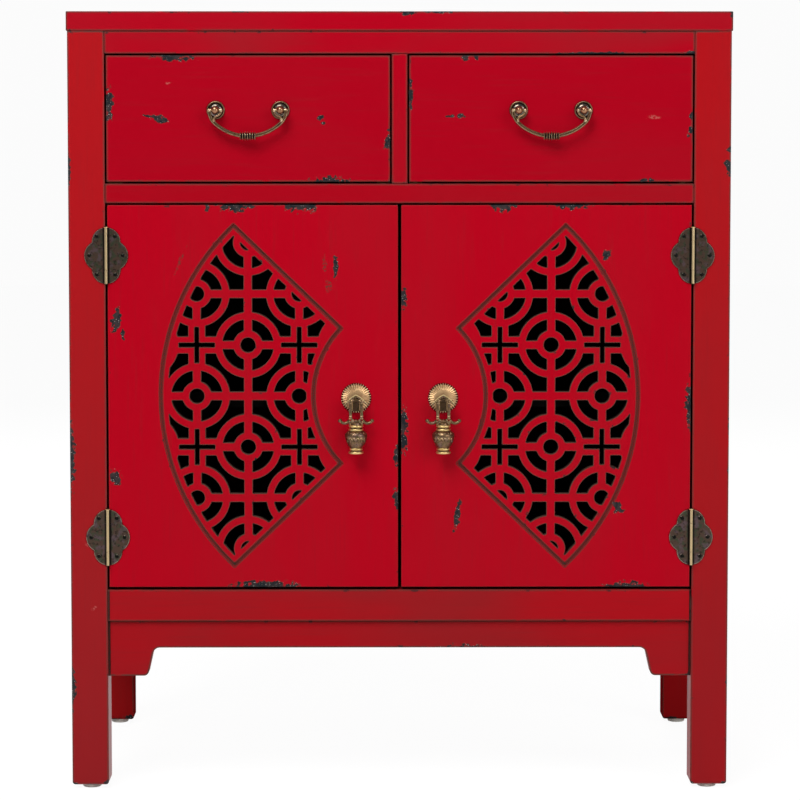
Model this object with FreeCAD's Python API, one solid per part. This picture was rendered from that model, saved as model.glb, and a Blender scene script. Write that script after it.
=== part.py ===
import FreeCAD, Part
import math
import os

from FreeCAD import Vector

# Entryway cabinet: two drawers over two doors with pierced fan lattices, on four square legs.
# Millimetres, +Z up, front towards -Y, left is -X. The origin lies on the floor under the middle
# of the overall box, pulls included. Left-hand pieces are drawn and the right-hand ones mirrored.

# Overall
cabinet_width = 630.0
cabinet_depth = 330.0
post_width = 35.0
post_depth = 32.0
rear_post_width = 32.0
rear_post_depth = 26.0

# Heights, stacked from the floor up
glide_height = 4.0
spandrel_clearance = 109.8
spandrel_drop = 27.3
apron_height = 26.2
bottom_rail_height = 30.5
door_opening_height = 370.4
middle_rail_height = 18.6
drawer_opening_height = 123.0
top_rail_height = 21.5
top_thickness = 18.5
top_overhang = 1.0

# Frame joinery
rail_depth = 20.0
divider_width = 15.0
divider_tenon_width = 9.0
divider_tenon_length = 8.0
tenon_length = 15.0
tenon_thickness = 8.0
tenon_shoulder = 3.0
wood_edge_radius = 1.0
foot_corner_radius = 4.0
rear_rail_depth = 18.0
rear_top_rail_height = 25.0
rear_bottom_rail_height = 30.0

# Aprons with stepped spandrels
apron_thickness = 15.0
apron_setback = 4.0
spandrel_foot_width = 38.0
spandrel_head_width = 44.0
spandrel_foot_radius = 5.0
spandrel_head_radius = 7.0

# Boards
side_panel_thickness = 12.0
side_panel_setback = 6.0
panel_groove_depth = 6.0
dado_depth = 4.0
back_thickness = 5.0
back_rebate = 10.0
deck_thickness = 10.0
floor_thickness = 12.0
tongue_depth = 5.0
tongue_thickness = 5.0
shelf_thickness = 15.0
shelf_height_over_floor = 170.0
shelf_setback = 60.0
shelf_play = 1.0
cleat_width = 15.0
cleat_height = 20.0

# Drawers
drawer_gap_side = 1.5
drawer_gap_top = 1.6
drawer_gap_bottom = 1.7
drawer_front_thickness = 18.0
drawer_side_thickness = 12.0
drawer_side_height = 100.0
drawer_length = 270.0
drawer_play = 2.0
drawer_housing_depth = 8.0
drawer_bottom_thickness = 5.0
drawer_bottom_raise = 8.0
drawer_groove_depth = 5.0
guide_height = 25.0

# Doors
door_thickness = 18.0
door_gap_hinge = 1.8
door_gap_meeting = 3.0
door_gap_top = 1.6
door_gap_bottom = 2.5

# Fan on each door: angles and radii about a point just past the meeting line
fan_centre_past_middle = 11.0
fan_above_middle = 0.75
fan_half_angle = 43.9
fan_inner_radius = 93.3
fan_corner_radius = 234.8
fan_crown_radius = 238.8
fan_groove_width = 3.2
fan_groove_depth = 1.5
fan_rim = 7.0

# Lattice in the fan: rings and crossed slots on a square grid
lattice_column_from_middle = 144.6
lattice_pitch = 48.85
lattice_columns = (-2, -1, 0, 1, 2)
lattice_rows = (-3, -2, -1, 0, 1, 2, 3)
lattice_bar_width = 8.2
ring_outer_radius = 31.7
ring_inner_radius = 24.4
hub_outer_radius = 14.2
hub_hole_radius = 7.1
slot_width = 4.2
slot_length = 34.3
slot_frame_width = 16.4
least_hole_area = 3.0

# Lobed surface hinges
hinge_from_door_end = 48.2
hinge_leaf_thickness = 1.2
hinge_end_lobe_radius = 13.4
hinge_end_lobe_offset = 13.3
hinge_side_lobe_radius = 14.2
hinge_side_lobe_offset = 6.5
hinge_barrel_radius = 2.25
hinge_end_knuckle_length = 13.0
hinge_knuckle_gap = 0.3
hinge_plate_gap = 0.35
hinge_pin_radius = 1.0
hinge_pin_clearance = 0.05
hinge_pin_head_height = 0.6
hinge_face_clearance = 0.05
hinge_wrap_inset = 1.2
nail_radius = 0.8
nail_length = 12.0
nail_head_radius = 2.2
nail_head_height = 0.9
nail_clearance = 0.05
nail_end_spacing = 36.6
nail_end_offset = 8.7
nail_side_offset = 16.0

# Drawer bails
bail_height_over_centre = 8.1
bail_post_spacing = 61.5
bail_axis_reach = 9.5
bail_drop = 24.5
bail_shoulder_radius = 17.0
bail_wire_radius = 2.0
bail_end_radius = 1.6
bail_pin_radius = 1.4
bail_pin_clearance = 0.06
bail_arm_gap = 0.6
bail_tail_radius = 1.1
bail_tail_gap = 1.2
bail_tail_sweep = 76.0
bail_tail_return_radius = 3.4
bail_tail_ball_radius = 1.7
grip_length = 16.0
grip_radius = 3.9
grip_end_radius = 3.2
grip_groove_depth = 0.7
grip_rib_count = 7
rosette_radius = 8.6
rosette_rim_height = 1.4
rosette_rim_width = 1.3
rosette_rim_round = 0.4
rosette_dish_height = 0.7
rosette_land_radius = 4.4
rosette_land_height = 2.2
handle_ball_radius = 3.6
handle_neck_radius = 2.4
handle_collar_radius = 3.4
handle_collar_height = 1.0
handle_shank_radius = 2.0
handle_hole_clearance = 0.1
nut_radius = 4.0
nut_height = 3.0
shank_past_nut = 1.0

# Door pulls: starburst rosette, lug and hanging vase
pull_from_middle = 41.5
pull_below_door_middle = 1.0
starburst_radius = 14.2
starburst_edge_height = 1.2
starburst_crown_height = 4.4
starburst_swell = 0.6
starburst_land_radius = 3.4
starburst_flute_count = 36
starburst_flute_radius = 1.2
starburst_flute_start = 4.6
starburst_point_reach = 14.6
starburst_notch_radius = 12.9
pull_axis_reach = 13.0
lug_droop = 1.5
lug_eye_width = 4.0
lug_eye_radius = 2.1
lug_strap_width = 6.5
lug_strap_thickness = 2.4
lug_strap_drop = 10.0
lug_strap_top = 1.0
lug_neck_radius = 1.3
lug_collar_radius = 2.6
lug_collar_height = 1.2
lug_shank_radius = 1.6
lug_shank_length = 14.0
pull_pin_radius = 1.0
pull_pin_clearance = 0.06
drop_frame_thickness = 2.4
drop_column_gap = 7.5
drop_column_width = 3.0
drop_roof_clear = 4.0
drop_roof_slope = 38.0
drop_roof_half_width = 10.4
drop_roof_thickness = 1.6
drop_sill_drop = 18.0
drop_crest_height = 2.2
drop_base_drop = 23.2
drop_wing_reach = 15.4
drop_wing_radius = 1.5
drop_wing_tip_rise = 3.4
drop_wing_dip = 0.6
vase_neck_radius = 5.6
vase_ring_radius = 6.8
vase_ring_thickness = 2.0
vase_ring_pitch = 3.4
vase_ring_round = 0.8
vase_shoulder_radius = 10.8
vase_shoulder_drop = 32.4
vase_shoulder_round = 2.2
vase_belly_swell = 1.3
vase_waist_radius = 5.4
vase_waist_drop = 45.0
vase_lower_ring_radius = 6.0
vase_foot_radius = 6.8
vase_foot_drop = 50.4

# Catches and glides
catch_length = 40.0
catch_height = 14.0
catch_from_middle = 32.0
plate_length = 30.0
plate_height = 12.0
plate_thickness = 1.2
glide_radius = 9.0
glide_edge_radius = 1.2
glide_nail_length = 14.0

# Derived levels and planes
half_width = cabinet_width / 2
opening_half = half_width - post_width
rear_opening_half = half_width - rear_post_width
divider_half = divider_width / 2
handle_reach = pull_axis_reach + vase_shoulder_radius
front = (handle_reach - cabinet_depth) / 2
back = front + cabinet_depth
z_spandrel = spandrel_clearance
z_apron = z_spandrel + spandrel_drop
z_rail = z_apron + apron_height
z_door_sill = z_rail + bottom_rail_height
z_door_head = z_door_sill + door_opening_height
z_drawer_sill = z_door_head + middle_rail_height
z_drawer_head = z_drawer_sill + drawer_opening_height
z_top_under = z_drawer_head + top_rail_height
z_top = z_top_under + top_thickness
side_inner = half_width - side_panel_setback - side_panel_thickness
post_back = front + post_depth
rear_post_front = back - rear_post_depth
back_inner = back - back_thickness
door_low = z_door_sill + door_gap_bottom
door_high = z_door_head - door_gap_top
door_middle = (door_low + door_high) / 2
fan_middle = door_middle + fan_above_middle
door_back = front + door_thickness
hinge_line = opening_half - door_gap_hinge / 2
hinge_axis_y = front - hinge_barrel_radius - hinge_face_clearance
hinge_half_height = hinge_end_lobe_offset + hinge_end_lobe_radius
floor_under = z_door_sill - floor_thickness
deck_under = z_drawer_sill - deck_thickness
shelf_under = z_door_sill + shelf_height_over_floor
drawer_middle_x = (opening_half - drawer_gap_side + divider_half + drawer_gap_side) / 2
drawer_low = z_drawer_sill + drawer_gap_bottom
drawer_high = z_drawer_head - drawer_gap_top
bail_axis_z = (drawer_low + drawer_high) / 2 + bail_height_over_centre
bail_axis_y = front - bail_axis_reach
pull_rosette_z = door_middle - pull_below_door_middle
pull_axis_z = pull_rosette_z - lug_droop
pull_axis_y = front - pull_axis_reach
tiny = 1e-4
sharp_corners = 2


# Small drawing tools

def block(x0, x1, y0, y1, z0, z1):
    """A square block between two corners."""
    return Part.makeBox(x1 - x0, y1 - y0, z1 - z0, Vector(x0, y0, z0))


def rod(radius, start, end):
    """A round rod from one point to another."""
    return Part.makeCylinder(radius, (end - start).Length, start, end - start)


def mirrored(shape):
    """The same piece on the other side of the cabinet's middle plane."""
    return shape.mirror(Vector(0, 0, 0), Vector(1, 0, 0))


def in_front_view(u, v):
    """A point of an outline drawn as seen from the front."""
    return Vector(u, 0, v)


def in_side_view(u, v):
    """A point of an outline drawn as seen from the side."""
    return Vector(0, u, v)


def in_plan(u, v):
    """A point of an outline drawn as seen from above."""
    return Vector(u, v, 0)


def rounded_face(corners, view):
    """A flat face from corners (u, v, radius), each corner rounded by its radius."""
    points = [view(u, v) for u, v, radius in corners]
    edges = []
    last = None
    first = None
    for i, (u, v, radius) in enumerate(corners):
        corner = points[i]
        before = (points[i - 1] - corner).normalize()
        after = (points[(i + 1) % len(points)] - corner).normalize()
        start = end = corner
        if radius > 0:
            half_angle = before.getAngle(after) / 2
            reach = radius / math.tan(half_angle)
            start = corner + before * reach
            end = corner + after * reach
            inward = (before + after).normalize()
            crown = corner + inward * (radius / math.sin(half_angle) - radius)
        if last is not None:
            edges.append(Part.makeLine(last, start))
        else:
            first = start
        if radius > 0:
            edges.append(Part.Arc(start, crown, end).toShape())
        last = end
    edges.append(Part.makeLine(last, first))
    return Part.Face(Part.Wire(edges))


def turned(profile, base, axis):
    """A solid of revolution from a closed list of edges."""
    return Part.Face(Part.Wire(profile)).revolve(base, axis, 360)


def lines_through(points):
    """A closed run of straight edges through the points."""
    return [Part.makeLine(a, b) for a, b in zip(points, points[1:] + points[:1])]


def ease_front(solid, plane):
    """Rounds the edges of a piece that lie in its front plane."""
    chosen = []
    for edge in solid.Edges:
        bounds = edge.BoundBox
        if abs(bounds.YMin - plane) < tiny and abs(bounds.YMax - plane) < tiny:
            chosen.append(edge)
    return solid.makeFillet(wood_edge_radius, chosen)


# Frame

def post(inner, y0, y1):
    """A left-hand leg post with eased edges and a rounded foot; inner is its face's x from the middle."""
    low = glide_height
    foot = foot_corner_radius
    edge = wood_edge_radius
    seen_front = rounded_face([(-half_width, z_top_under, 0), (-half_width, low, foot),
                               (-inner, low, foot), (-inner, z_top_under, 0)],
                              in_front_view).extrude(Vector(0, y1 - y0, 0))
    seen_front.translate(Vector(0, y0, 0))
    seen_side = rounded_face([(y0, z_top_under, 0), (y0, low, foot), (y1, low, foot),
                              (y1, z_top_under, 0)], in_side_view)
    seen_side = seen_side.extrude(Vector(half_width - inner, 0, 0))
    seen_side.translate(Vector(-half_width, 0, 0))
    plan = rounded_face([(-half_width, y0, edge), (-inner, y0, edge),
                         (-inner, y1, edge), (-half_width, y1, edge)],
                        in_plan).extrude(Vector(0, 0, z_top_under))
    return seen_front.common(seen_side).common(plan)


def tenon(half_span, y_middle, z0, z1):
    """The left-hand tenon of a rail, also the shape of its mortise."""
    return block(-half_span - tenon_length, -half_span, y_middle - tenon_thickness / 2,
                 y_middle + tenon_thickness / 2, z0 + tenon_shoulder, z1 - tenon_shoulder)


def rail(half_span, y0, y1, z0, z1):
    """A rail between two posts with a tenon at each end."""
    body = ease_front(block(-half_span, half_span, y0, y1, z0, z1), y0)
    end = tenon(half_span, (y0 + y1) / 2, z0, z1)
    return body.fuse(end).fuse(mirrored(end)).removeSplitter()


def apron_face(half_span, view):
    """An apron's outline: a straight board with a stepped spandrel at each end."""
    foot = half_span - spandrel_foot_width
    head = half_span - spandrel_head_width
    return rounded_face([(-half_span, z_rail, 0), (-half_span, z_spandrel, 0),
                         (-foot, z_spandrel, spandrel_foot_radius),
                         (-head, z_apron, spandrel_head_radius),
                         (head, z_apron, spandrel_head_radius),
                         (foot, z_spandrel, spandrel_foot_radius),
                         (half_span, z_spandrel, 0), (half_span, z_rail, 0)], view)


def front_apron():
    """The apron under the front bottom rail."""
    y0 = front + apron_setback
    board = apron_face(opening_half, in_front_view).extrude(Vector(0, apron_thickness, 0))
    board.translate(Vector(0, y0, 0))
    end = tenon(opening_half, y0 + apron_thickness / 2, z_spandrel, z_rail)
    return board.fuse(end).fuse(mirrored(end)).removeSplitter()


def side_apron_tenons():
    """The two tenons of the left side apron, also the shapes of their mortises."""
    x_middle = -half_width + apron_setback + apron_thickness / 2
    x0 = x_middle - tenon_thickness / 2
    x1 = x_middle + tenon_thickness / 2
    z0 = z_spandrel + tenon_shoulder
    z1 = z_rail - tenon_shoulder
    return [block(x0, x1, post_back - tenon_length, post_back, z0, z1),
            block(x0, x1, rear_post_front, rear_post_front + tenon_length, z0, z1)]


def side_apron():
    """The apron under the left side panel."""
    half_span = (rear_post_front - post_back) / 2
    board = apron_face(half_span, in_side_view).extrude(Vector(apron_thickness, 0, 0))
    board.translate(Vector(-half_width + apron_setback, (rear_post_front + post_back) / 2, 0))
    return board.fuse(side_apron_tenons()).removeSplitter()


def divider_tenon(z0, z1):
    """A stub tenon of the drawer divider, also the shape of its mortise."""
    y_middle = front + rail_depth / 2
    return block(-divider_tenon_width / 2, divider_tenon_width / 2, y_middle - tenon_thickness / 2,
                 y_middle + tenon_thickness / 2, z0, z1)


upper_divider_tenon = divider_tenon(z_drawer_head, z_drawer_head + divider_tenon_length)
lower_divider_tenon = divider_tenon(z_drawer_sill - divider_tenon_length, z_drawer_sill)


def drawer_divider():
    """The upright between the two drawers."""
    body = block(-divider_half, divider_half, front, front + rail_depth, z_drawer_sill, z_drawer_head)
    body = ease_front(body, front)
    return body.fuse([upper_divider_tenon, lower_divider_tenon]).removeSplitter()


def top_board():
    """The top, with all its edges eased."""
    board = block(-half_width - top_overhang, half_width + top_overhang, front - top_overhang, back,
                  z_top_under, z_top)
    return board.makeFillet(wood_edge_radius, board.Edges)


# Boards

def side_panel():
    """The left side panel, before the dados are cut."""
    return block(-side_inner - side_panel_thickness, -side_inner, post_back - panel_groove_depth,
                 rear_post_front + panel_groove_depth, z_rail, z_top_under)


def board_between_sides(y_front, y_shoulder, reach, z0, z1):
    """A level board: narrow between the posts, wide between the side panels."""
    narrow = block(-opening_half, opening_half, y_front, rear_post_front, z0, z1)
    wide = block(-reach, reach, y_shoulder, rear_post_front, z0, z1)
    rear = block(-rear_opening_half, rear_opening_half, rear_post_front, back_inner, z0, z1)
    return narrow.fuse([wide, rear]).removeSplitter()


def tongue(y_edge, z1, thickness):
    """The tongue along a board's front edge, also the shape of its groove."""
    z_middle = z1 - thickness / 2
    return block(-opening_half, opening_half, y_edge - tongue_depth, y_edge,
                 z_middle - tongue_thickness / 2, z_middle + tongue_thickness / 2)


deck_tongue = tongue(post_back, z_drawer_sill, deck_thickness)
floor_tongue = tongue(front + rail_depth, z_door_sill, floor_thickness)


def drawer_deck():
    """The board that the drawers slide on."""
    board = board_between_sides(post_back, post_back, side_inner + dado_depth, deck_under, z_drawer_sill)
    return board.fuse(deck_tongue).removeSplitter()


def cupboard_floor():
    """The floor of the cupboard."""
    board = board_between_sides(front + rail_depth, post_back, side_inner + dado_depth, floor_under,
                                z_door_sill)
    return board.fuse(floor_tongue).removeSplitter()


def cupboard_shelf():
    """The loose shelf, notched round the rear posts."""
    y_front = front + shelf_setback
    wide = block(-side_inner + shelf_play, side_inner - shelf_play, y_front,
                 rear_post_front - shelf_play, shelf_under, shelf_under + shelf_thickness)
    narrow = block(-rear_opening_half + shelf_play, rear_opening_half - shelf_play, y_front,
                   back_inner - shelf_play, shelf_under, shelf_under + shelf_thickness)
    return wide.fuse(narrow).removeSplitter()


def shelf_cleat():
    """The left cleat that carries the shelf."""
    return block(-side_inner, -side_inner + cleat_width, front + shelf_setback, rear_post_front,
                 shelf_under - cleat_height, shelf_under)


def back_panel():
    """The thin back, let into the rear posts."""
    reach = rear_opening_half + back_rebate
    return block(-reach, reach, back_inner, back, floor_under - rear_bottom_rail_height, z_top_under)


def drawer_side_guide():
    """The left strip that keeps a drawer in line."""
    return block(-side_inner, -opening_half, post_back, rear_post_front, z_drawer_sill,
                 z_drawer_sill + guide_height)


def drawer_centre_guide():
    """The strip between the two drawers, behind the divider."""
    return block(-divider_half, divider_half, front + rail_depth, back_inner, z_drawer_sill,
                 z_drawer_sill + guide_height)


# Drawers, drawn on the left

def drawer_pieces():
    """The five boards of the left drawer, from the outside of the cabinet inwards."""
    front_back = front + drawer_front_thickness
    box_back = front_back + drawer_length
    outer = -opening_half + drawer_play
    inner = -divider_half - drawer_play
    side_top = z_drawer_sill + drawer_side_height
    side_front = front_back - drawer_housing_depth
    bottom_low = z_drawer_sill + drawer_bottom_raise
    bottom_high = bottom_low + drawer_bottom_thickness
    face = block(-opening_half + drawer_gap_side, -divider_half - drawer_gap_side, front, front_back,
                 drawer_low, drawer_high)
    outer_side = block(outer, outer + drawer_side_thickness, side_front, box_back, z_drawer_sill, side_top)
    inner_side = block(inner - drawer_side_thickness, inner, side_front, box_back, z_drawer_sill, side_top)
    clear_outer = outer + drawer_side_thickness
    clear_inner = inner - drawer_side_thickness
    bottom = block(clear_outer - drawer_groove_depth, clear_inner + drawer_groove_depth,
                   front_back - drawer_groove_depth, box_back, bottom_low, bottom_high)
    rear = block(clear_outer, clear_inner, box_back - drawer_side_thickness, box_back, bottom_high, side_top)
    hole_radius = handle_shank_radius + handle_hole_clearance
    holes = [rod(hole_radius, Vector(x, front, bail_axis_z), Vector(x, front_back, bail_axis_z))
             for x in bail_post_places()]
    face = ease_front(face, front).cut([outer_side, inner_side, bottom] + holes)
    return {"front": face, "outer_side": outer_side.cut(bottom), "inner_side": inner_side.cut(bottom),
            "back": rear, "bottom": bottom}


def bail_post_places():
    """The x of the two posts of the left drawer's bail."""
    return [-drawer_middle_x - bail_post_spacing / 2, -drawer_middle_x + bail_post_spacing / 2]


def drawer_rosette(x):
    """A dished rosette with a raised rim and a flat land for the post."""
    hole = handle_shank_radius + handle_hole_clearance
    points = [Vector(hole, 0, 0), Vector(rosette_radius, 0, 0),
              Vector(rosette_radius, -rosette_rim_height, 0),
              Vector(rosette_radius - rosette_rim_width, -rosette_rim_height, 0),
              Vector(rosette_radius - rosette_rim_width - rosette_dish_height, -rosette_dish_height, 0),
              Vector(rosette_land_radius, -rosette_land_height, 0), Vector(hole, -rosette_land_height, 0)]
    rosette = turned(lines_through(points), Vector(0, 0, 0), Vector(0, 1, 0))
    rim = [edge for edge in rosette.Edges
           if abs(edge.BoundBox.YMin + rosette_rim_height) < tiny
           and abs(edge.BoundBox.YMax + rosette_rim_height) < tiny and edge.Closed]
    rosette = rosette.makeFillet(rosette_rim_round, rim)
    rosette.translate(Vector(x, front, bail_axis_z))
    return rosette


def handle_post(x):
    """A post through the rosette and the drawer front, with a pierced ball for the bail."""
    land = bail_axis_reach - rosette_land_height
    collar_top = land - handle_collar_height
    shank_end = bail_axis_reach + drawer_front_thickness + nut_height + shank_past_nut
    neck_start = math.sqrt(handle_ball_radius ** 2 - handle_neck_radius ** 2)
    crown = Vector(0, -handle_ball_radius, 0)
    side = Vector(handle_ball_radius, 0, 0)
    steps = [Vector(handle_neck_radius, neck_start, 0), Vector(handle_neck_radius, collar_top, 0),
             Vector(handle_collar_radius, collar_top, 0), Vector(handle_collar_radius, land, 0),
             Vector(handle_shank_radius, land, 0), Vector(handle_shank_radius, shank_end, 0),
             Vector(0, shank_end, 0), crown]
    profile = [Part.makeLine(a, b) for a, b in zip(steps, steps[1:])]
    profile.append(Part.Arc(crown, side, steps[0]).toShape())
    body = turned(profile, Vector(0, 0, 0), Vector(0, 1, 0))
    reach = Vector(handle_ball_radius + bail_arm_gap, 0, 0)
    body = body.cut(rod(bail_pin_radius + bail_pin_clearance, Vector(0, 0, 0) - reach, reach))
    body.translate(Vector(x, bail_axis_y, bail_axis_z))
    return body


def handle_nut(x):
    """A round nut on the inside of the drawer front."""
    start = Vector(x, front + drawer_front_thickness, bail_axis_z)
    end = start + Vector(0, nut_height, 0)
    return rod(nut_radius, start, end).cut(rod(handle_shank_radius, start, end))


def bail_arm_offset():
    """How far the bail's arm stands outside the middle of its post."""
    return handle_ball_radius + bail_arm_gap + bail_end_radius


def bail_bow():
    """The bow: a three-centred arch, thicker in the middle, in the plane of the bail's axis."""
    a = bail_post_spacing / 2 + bail_arm_offset()
    b = bail_drop
    r = bail_shoulder_radius
    crown = ((a - r) ** 2 + b ** 2 - r ** 2) / (2 * (b - r))
    turn = math.atan2(crown - b, a - r)
    small_centre = Vector(a - r, 0, 0)
    big_centre = Vector(0, 0, crown - b)

    def on_arc(centre, radius, angle):
        return centre + Vector(radius * math.cos(angle), 0, -radius * math.sin(angle))

    join = on_arc(small_centre, r, turn)
    lowest = Vector(0, 0, -b)
    side = [Part.Arc(Vector(a, 0, 0), on_arc(small_centre, r, turn / 2), join).toShape(),
            Part.Arc(join, on_arc(big_centre, crown, (turn + math.pi / 2) / 2), lowest).toShape()]
    half = Part.BRepOffsetAPI.MakePipeShell(Part.Wire(side))
    half.add(Part.Wire(Part.makeCircle(bail_end_radius, Vector(a, 0, 0), Vector(0, 0, 1))))
    half.add(Part.Wire(Part.makeCircle(bail_wire_radius, lowest, Vector(1, 0, 0))))
    half.build()
    half.makeSolid()
    right = half.shape()
    return right.fuse(right.mirror(Vector(0, 0, 0), Vector(1, 0, 0))).removeSplitter()


def bail_tail(side):
    """The scroll on the inner side of a post, with a ball at its end; side is -1 left, 1 right."""
    radius = handle_ball_radius + bail_tail_gap + bail_tail_radius
    sweep = math.radians(bail_tail_sweep)
    curl = bail_tail_return_radius

    def about_post(distance, angle):
        return Vector(distance * math.cos(angle), 0, -distance * math.sin(angle))

    turn_point = about_post(radius, sweep)
    return_centre = about_post(radius + curl, sweep)
    end = return_centre - Vector(curl, 0, 0)
    middle = return_centre + about_post(curl, math.pi + sweep / 2)
    path = Part.Wire([Part.Arc(about_post(radius, 0), about_post(radius, sweep / 2), turn_point).toShape(),
                      Part.Arc(turn_point, middle, end).toShape()])
    profile = Part.Wire(Part.makeCircle(bail_tail_radius, about_post(radius, 0), Vector(0, 0, 1)))
    scroll = path.makePipeShell([profile], True, True)
    pin = rod(bail_pin_radius, Vector(-bail_arm_offset(), 0, 0), about_post(radius, 0))
    parts = [pin, Part.makeSphere(bail_end_radius, Vector(-bail_arm_offset(), 0, 0)),
             Part.makeSphere(bail_pin_radius, about_post(radius, 0)),
             Part.makeSphere(bail_tail_ball_radius, end - Vector(0, 0, bail_tail_ball_radius / 2))]
    tail = scroll.fuse(parts)
    if side > 0:
        tail = tail.mirror(Vector(0, 0, 0), Vector(1, 0, 0))
    tail.translate(Vector(side * bail_post_spacing / 2, 0, 0))
    return tail


def bail_grip():
    """The ribbed grip: scallops turned about the middle of the bow."""
    rib = grip_length / grip_rib_count
    groove = grip_end_radius - grip_groove_depth
    edges = []
    for i in range(grip_rib_count):
        start = -grip_length / 2 + i * rib
        share = abs(2 * (start + rib / 2) / grip_length)
        peak = grip_radius + (grip_end_radius - grip_radius) * share
        edges.append(Part.Arc(Vector(start, 0, groove), Vector(start + rib / 2, 0, peak),
                              Vector(start + rib, 0, groove)).toShape())
    left_foot = Vector(-grip_length / 2, 0, 0)
    right_foot = Vector(grip_length / 2, 0, 0)
    edges.append(Part.makeLine(Vector(grip_length / 2, 0, groove), right_foot))
    edges.append(Part.makeLine(right_foot, left_foot))
    edges.append(Part.makeLine(left_foot, Vector(-grip_length / 2, 0, groove)))
    grip = turned(edges, Vector(0, 0, 0), Vector(1, 0, 0))
    grip.translate(Vector(0, 0, -bail_drop))
    return grip


def drawer_bail():
    """The left drawer's bail, hanging."""
    bail = bail_bow().fuse([bail_tail(-1), bail_tail(1), bail_grip()])
    bail = bail.removeSplitter()
    bail.translate(Vector(-drawer_middle_x, bail_axis_y, bail_axis_z))
    return bail


# Doors, drawn on the left

def fan_face():
    """The fan's outline on the left door, as a flat face seen from the front."""
    centre_x = fan_centre_past_middle

    def at(radius, degrees):
        angle = math.radians(degrees)
        return Vector(centre_x - radius * math.cos(angle), 0, fan_middle + radius * math.sin(angle))

    top_outer = at(fan_corner_radius, fan_half_angle)
    low_outer = at(fan_corner_radius, -fan_half_angle)
    top_inner = at(fan_inner_radius, fan_half_angle)
    low_inner = at(fan_inner_radius, -fan_half_angle)
    edges = [Part.Arc(top_outer, at(fan_crown_radius, 0), low_outer).toShape(),
             Part.makeLine(low_outer, low_inner),
             Part.Arc(low_inner, at(fan_inner_radius, 0), top_inner).toShape(),
             Part.makeLine(top_inner, top_outer)]
    return Part.Face(Part.Wire(edges))


def lattice_nodes():
    """Grid places (column, row) of the lattice: the rings, then the crossed slots."""
    rings = []
    slots = []
    for column in lattice_columns:
        for row in lattice_rows:
            if (column + row) % 2 != 0:
                rings.append((column, row))
            elif column != 0:
                slots.append((column, row))
    return rings, slots


def lattice_holes():
    """The openings of the fretwork: the fan inside its rim, less rings, bars and framed slots."""
    depth = door_thickness
    through = Vector(0, depth, 0)
    rings, slots = lattice_nodes()

    def place(column, row):
        return Vector(-lattice_column_from_middle + column * lattice_pitch, front,
                      fan_middle + row * lattice_pitch)

    def disc(radius, centre):
        return Part.makeCylinder(radius, depth, centre, through)

    def bar(centre, half_x, half_z):
        return block(centre.x - half_x, centre.x + half_x, front, front + depth, centre.z - half_z,
                     centre.z + half_z)

    timber = []
    cuts = []
    half_bar = lattice_bar_width / 2
    half_frame = slot_frame_width / 2
    frame_reach = lattice_pitch - ring_inner_radius
    for column, row in rings:
        centre = place(column, row)
        timber.append(disc(ring_outer_radius, centre).cut(disc(ring_inner_radius, centre)))
        timber.append(disc(hub_outer_radius, centre))
        timber.append(bar(centre, half_bar, lattice_pitch))
        if abs(row) < max(lattice_rows):
            timber.append(bar(centre, lattice_pitch, half_bar))
        cuts.append(disc(hub_hole_radius, centre))
    for column, row in slots:
        centre = place(column, row)
        timber.append(bar(centre, half_frame, frame_reach))
        timber.append(bar(centre, frame_reach, half_frame))
        cuts.append(bar(centre, slot_width / 2, slot_length / 2))
        cuts.append(bar(centre, slot_length / 2, slot_width / 2))
    field = fan_face().makeOffset2D(-fan_rim, sharp_corners).extrude(through)
    field.translate(Vector(0, front, 0))
    fretwork = timber[0].fuse(timber[1:]).removeSplitter().cut(cuts)
    least_volume = least_hole_area * depth
    holes = field.cut(fretwork).removeSplitter().Solids
    return [hole for hole in holes if hole.Volume > least_volume]


def fan_groove():
    """The shallow groove that outlines the fan."""
    half = fan_groove_width / 2
    depth = Vector(0, fan_groove_depth, 0)
    outer = fan_face().makeOffset2D(half, sharp_corners).extrude(depth)
    inner = fan_face().makeOffset2D(-half, sharp_corners).extrude(depth)
    groove = outer.cut(inner)
    groove.translate(Vector(0, front, 0))
    return groove


def nail_places(side):
    """Nail positions (x, z) of one hinge leaf from its centre; side is -1 frame, 1 door."""
    return [(side * nail_end_offset, nail_end_spacing / 2), (side * nail_end_offset, -nail_end_spacing / 2),
            (side * nail_side_offset, 0)]


def hinge_levels():
    """Centre heights of a door's two hinges."""
    return [door_low + hinge_from_door_end, door_high - hinge_from_door_end]


def hinge_nails(side, radius, with_head):
    """The left door's nails, or their holes, on the frame (-1) or on the door (1)."""
    nails = []
    for level in hinge_levels():
        for dx, dz in nail_places(side):
            seat = Vector(-hinge_line + dx, front - hinge_leaf_thickness, level + dz)
            nail = rod(radius, seat, seat + Vector(0, nail_length, 0))
            if with_head:
                dome_radius = (nail_head_radius ** 2 + nail_head_height ** 2) / (2 * nail_head_height)
                dome = Part.makeSphere(dome_radius, seat + Vector(0, dome_radius - nail_head_height, 0))
                span = 2 * dome_radius
                keep = block(seat.x - span, seat.x + span, seat.y - span, seat.y,
                             seat.z - span, seat.z + span)
                nail = nail.fuse(dome.common(keep)).removeSplitter()
            nails.append(nail)
    return nails


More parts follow.
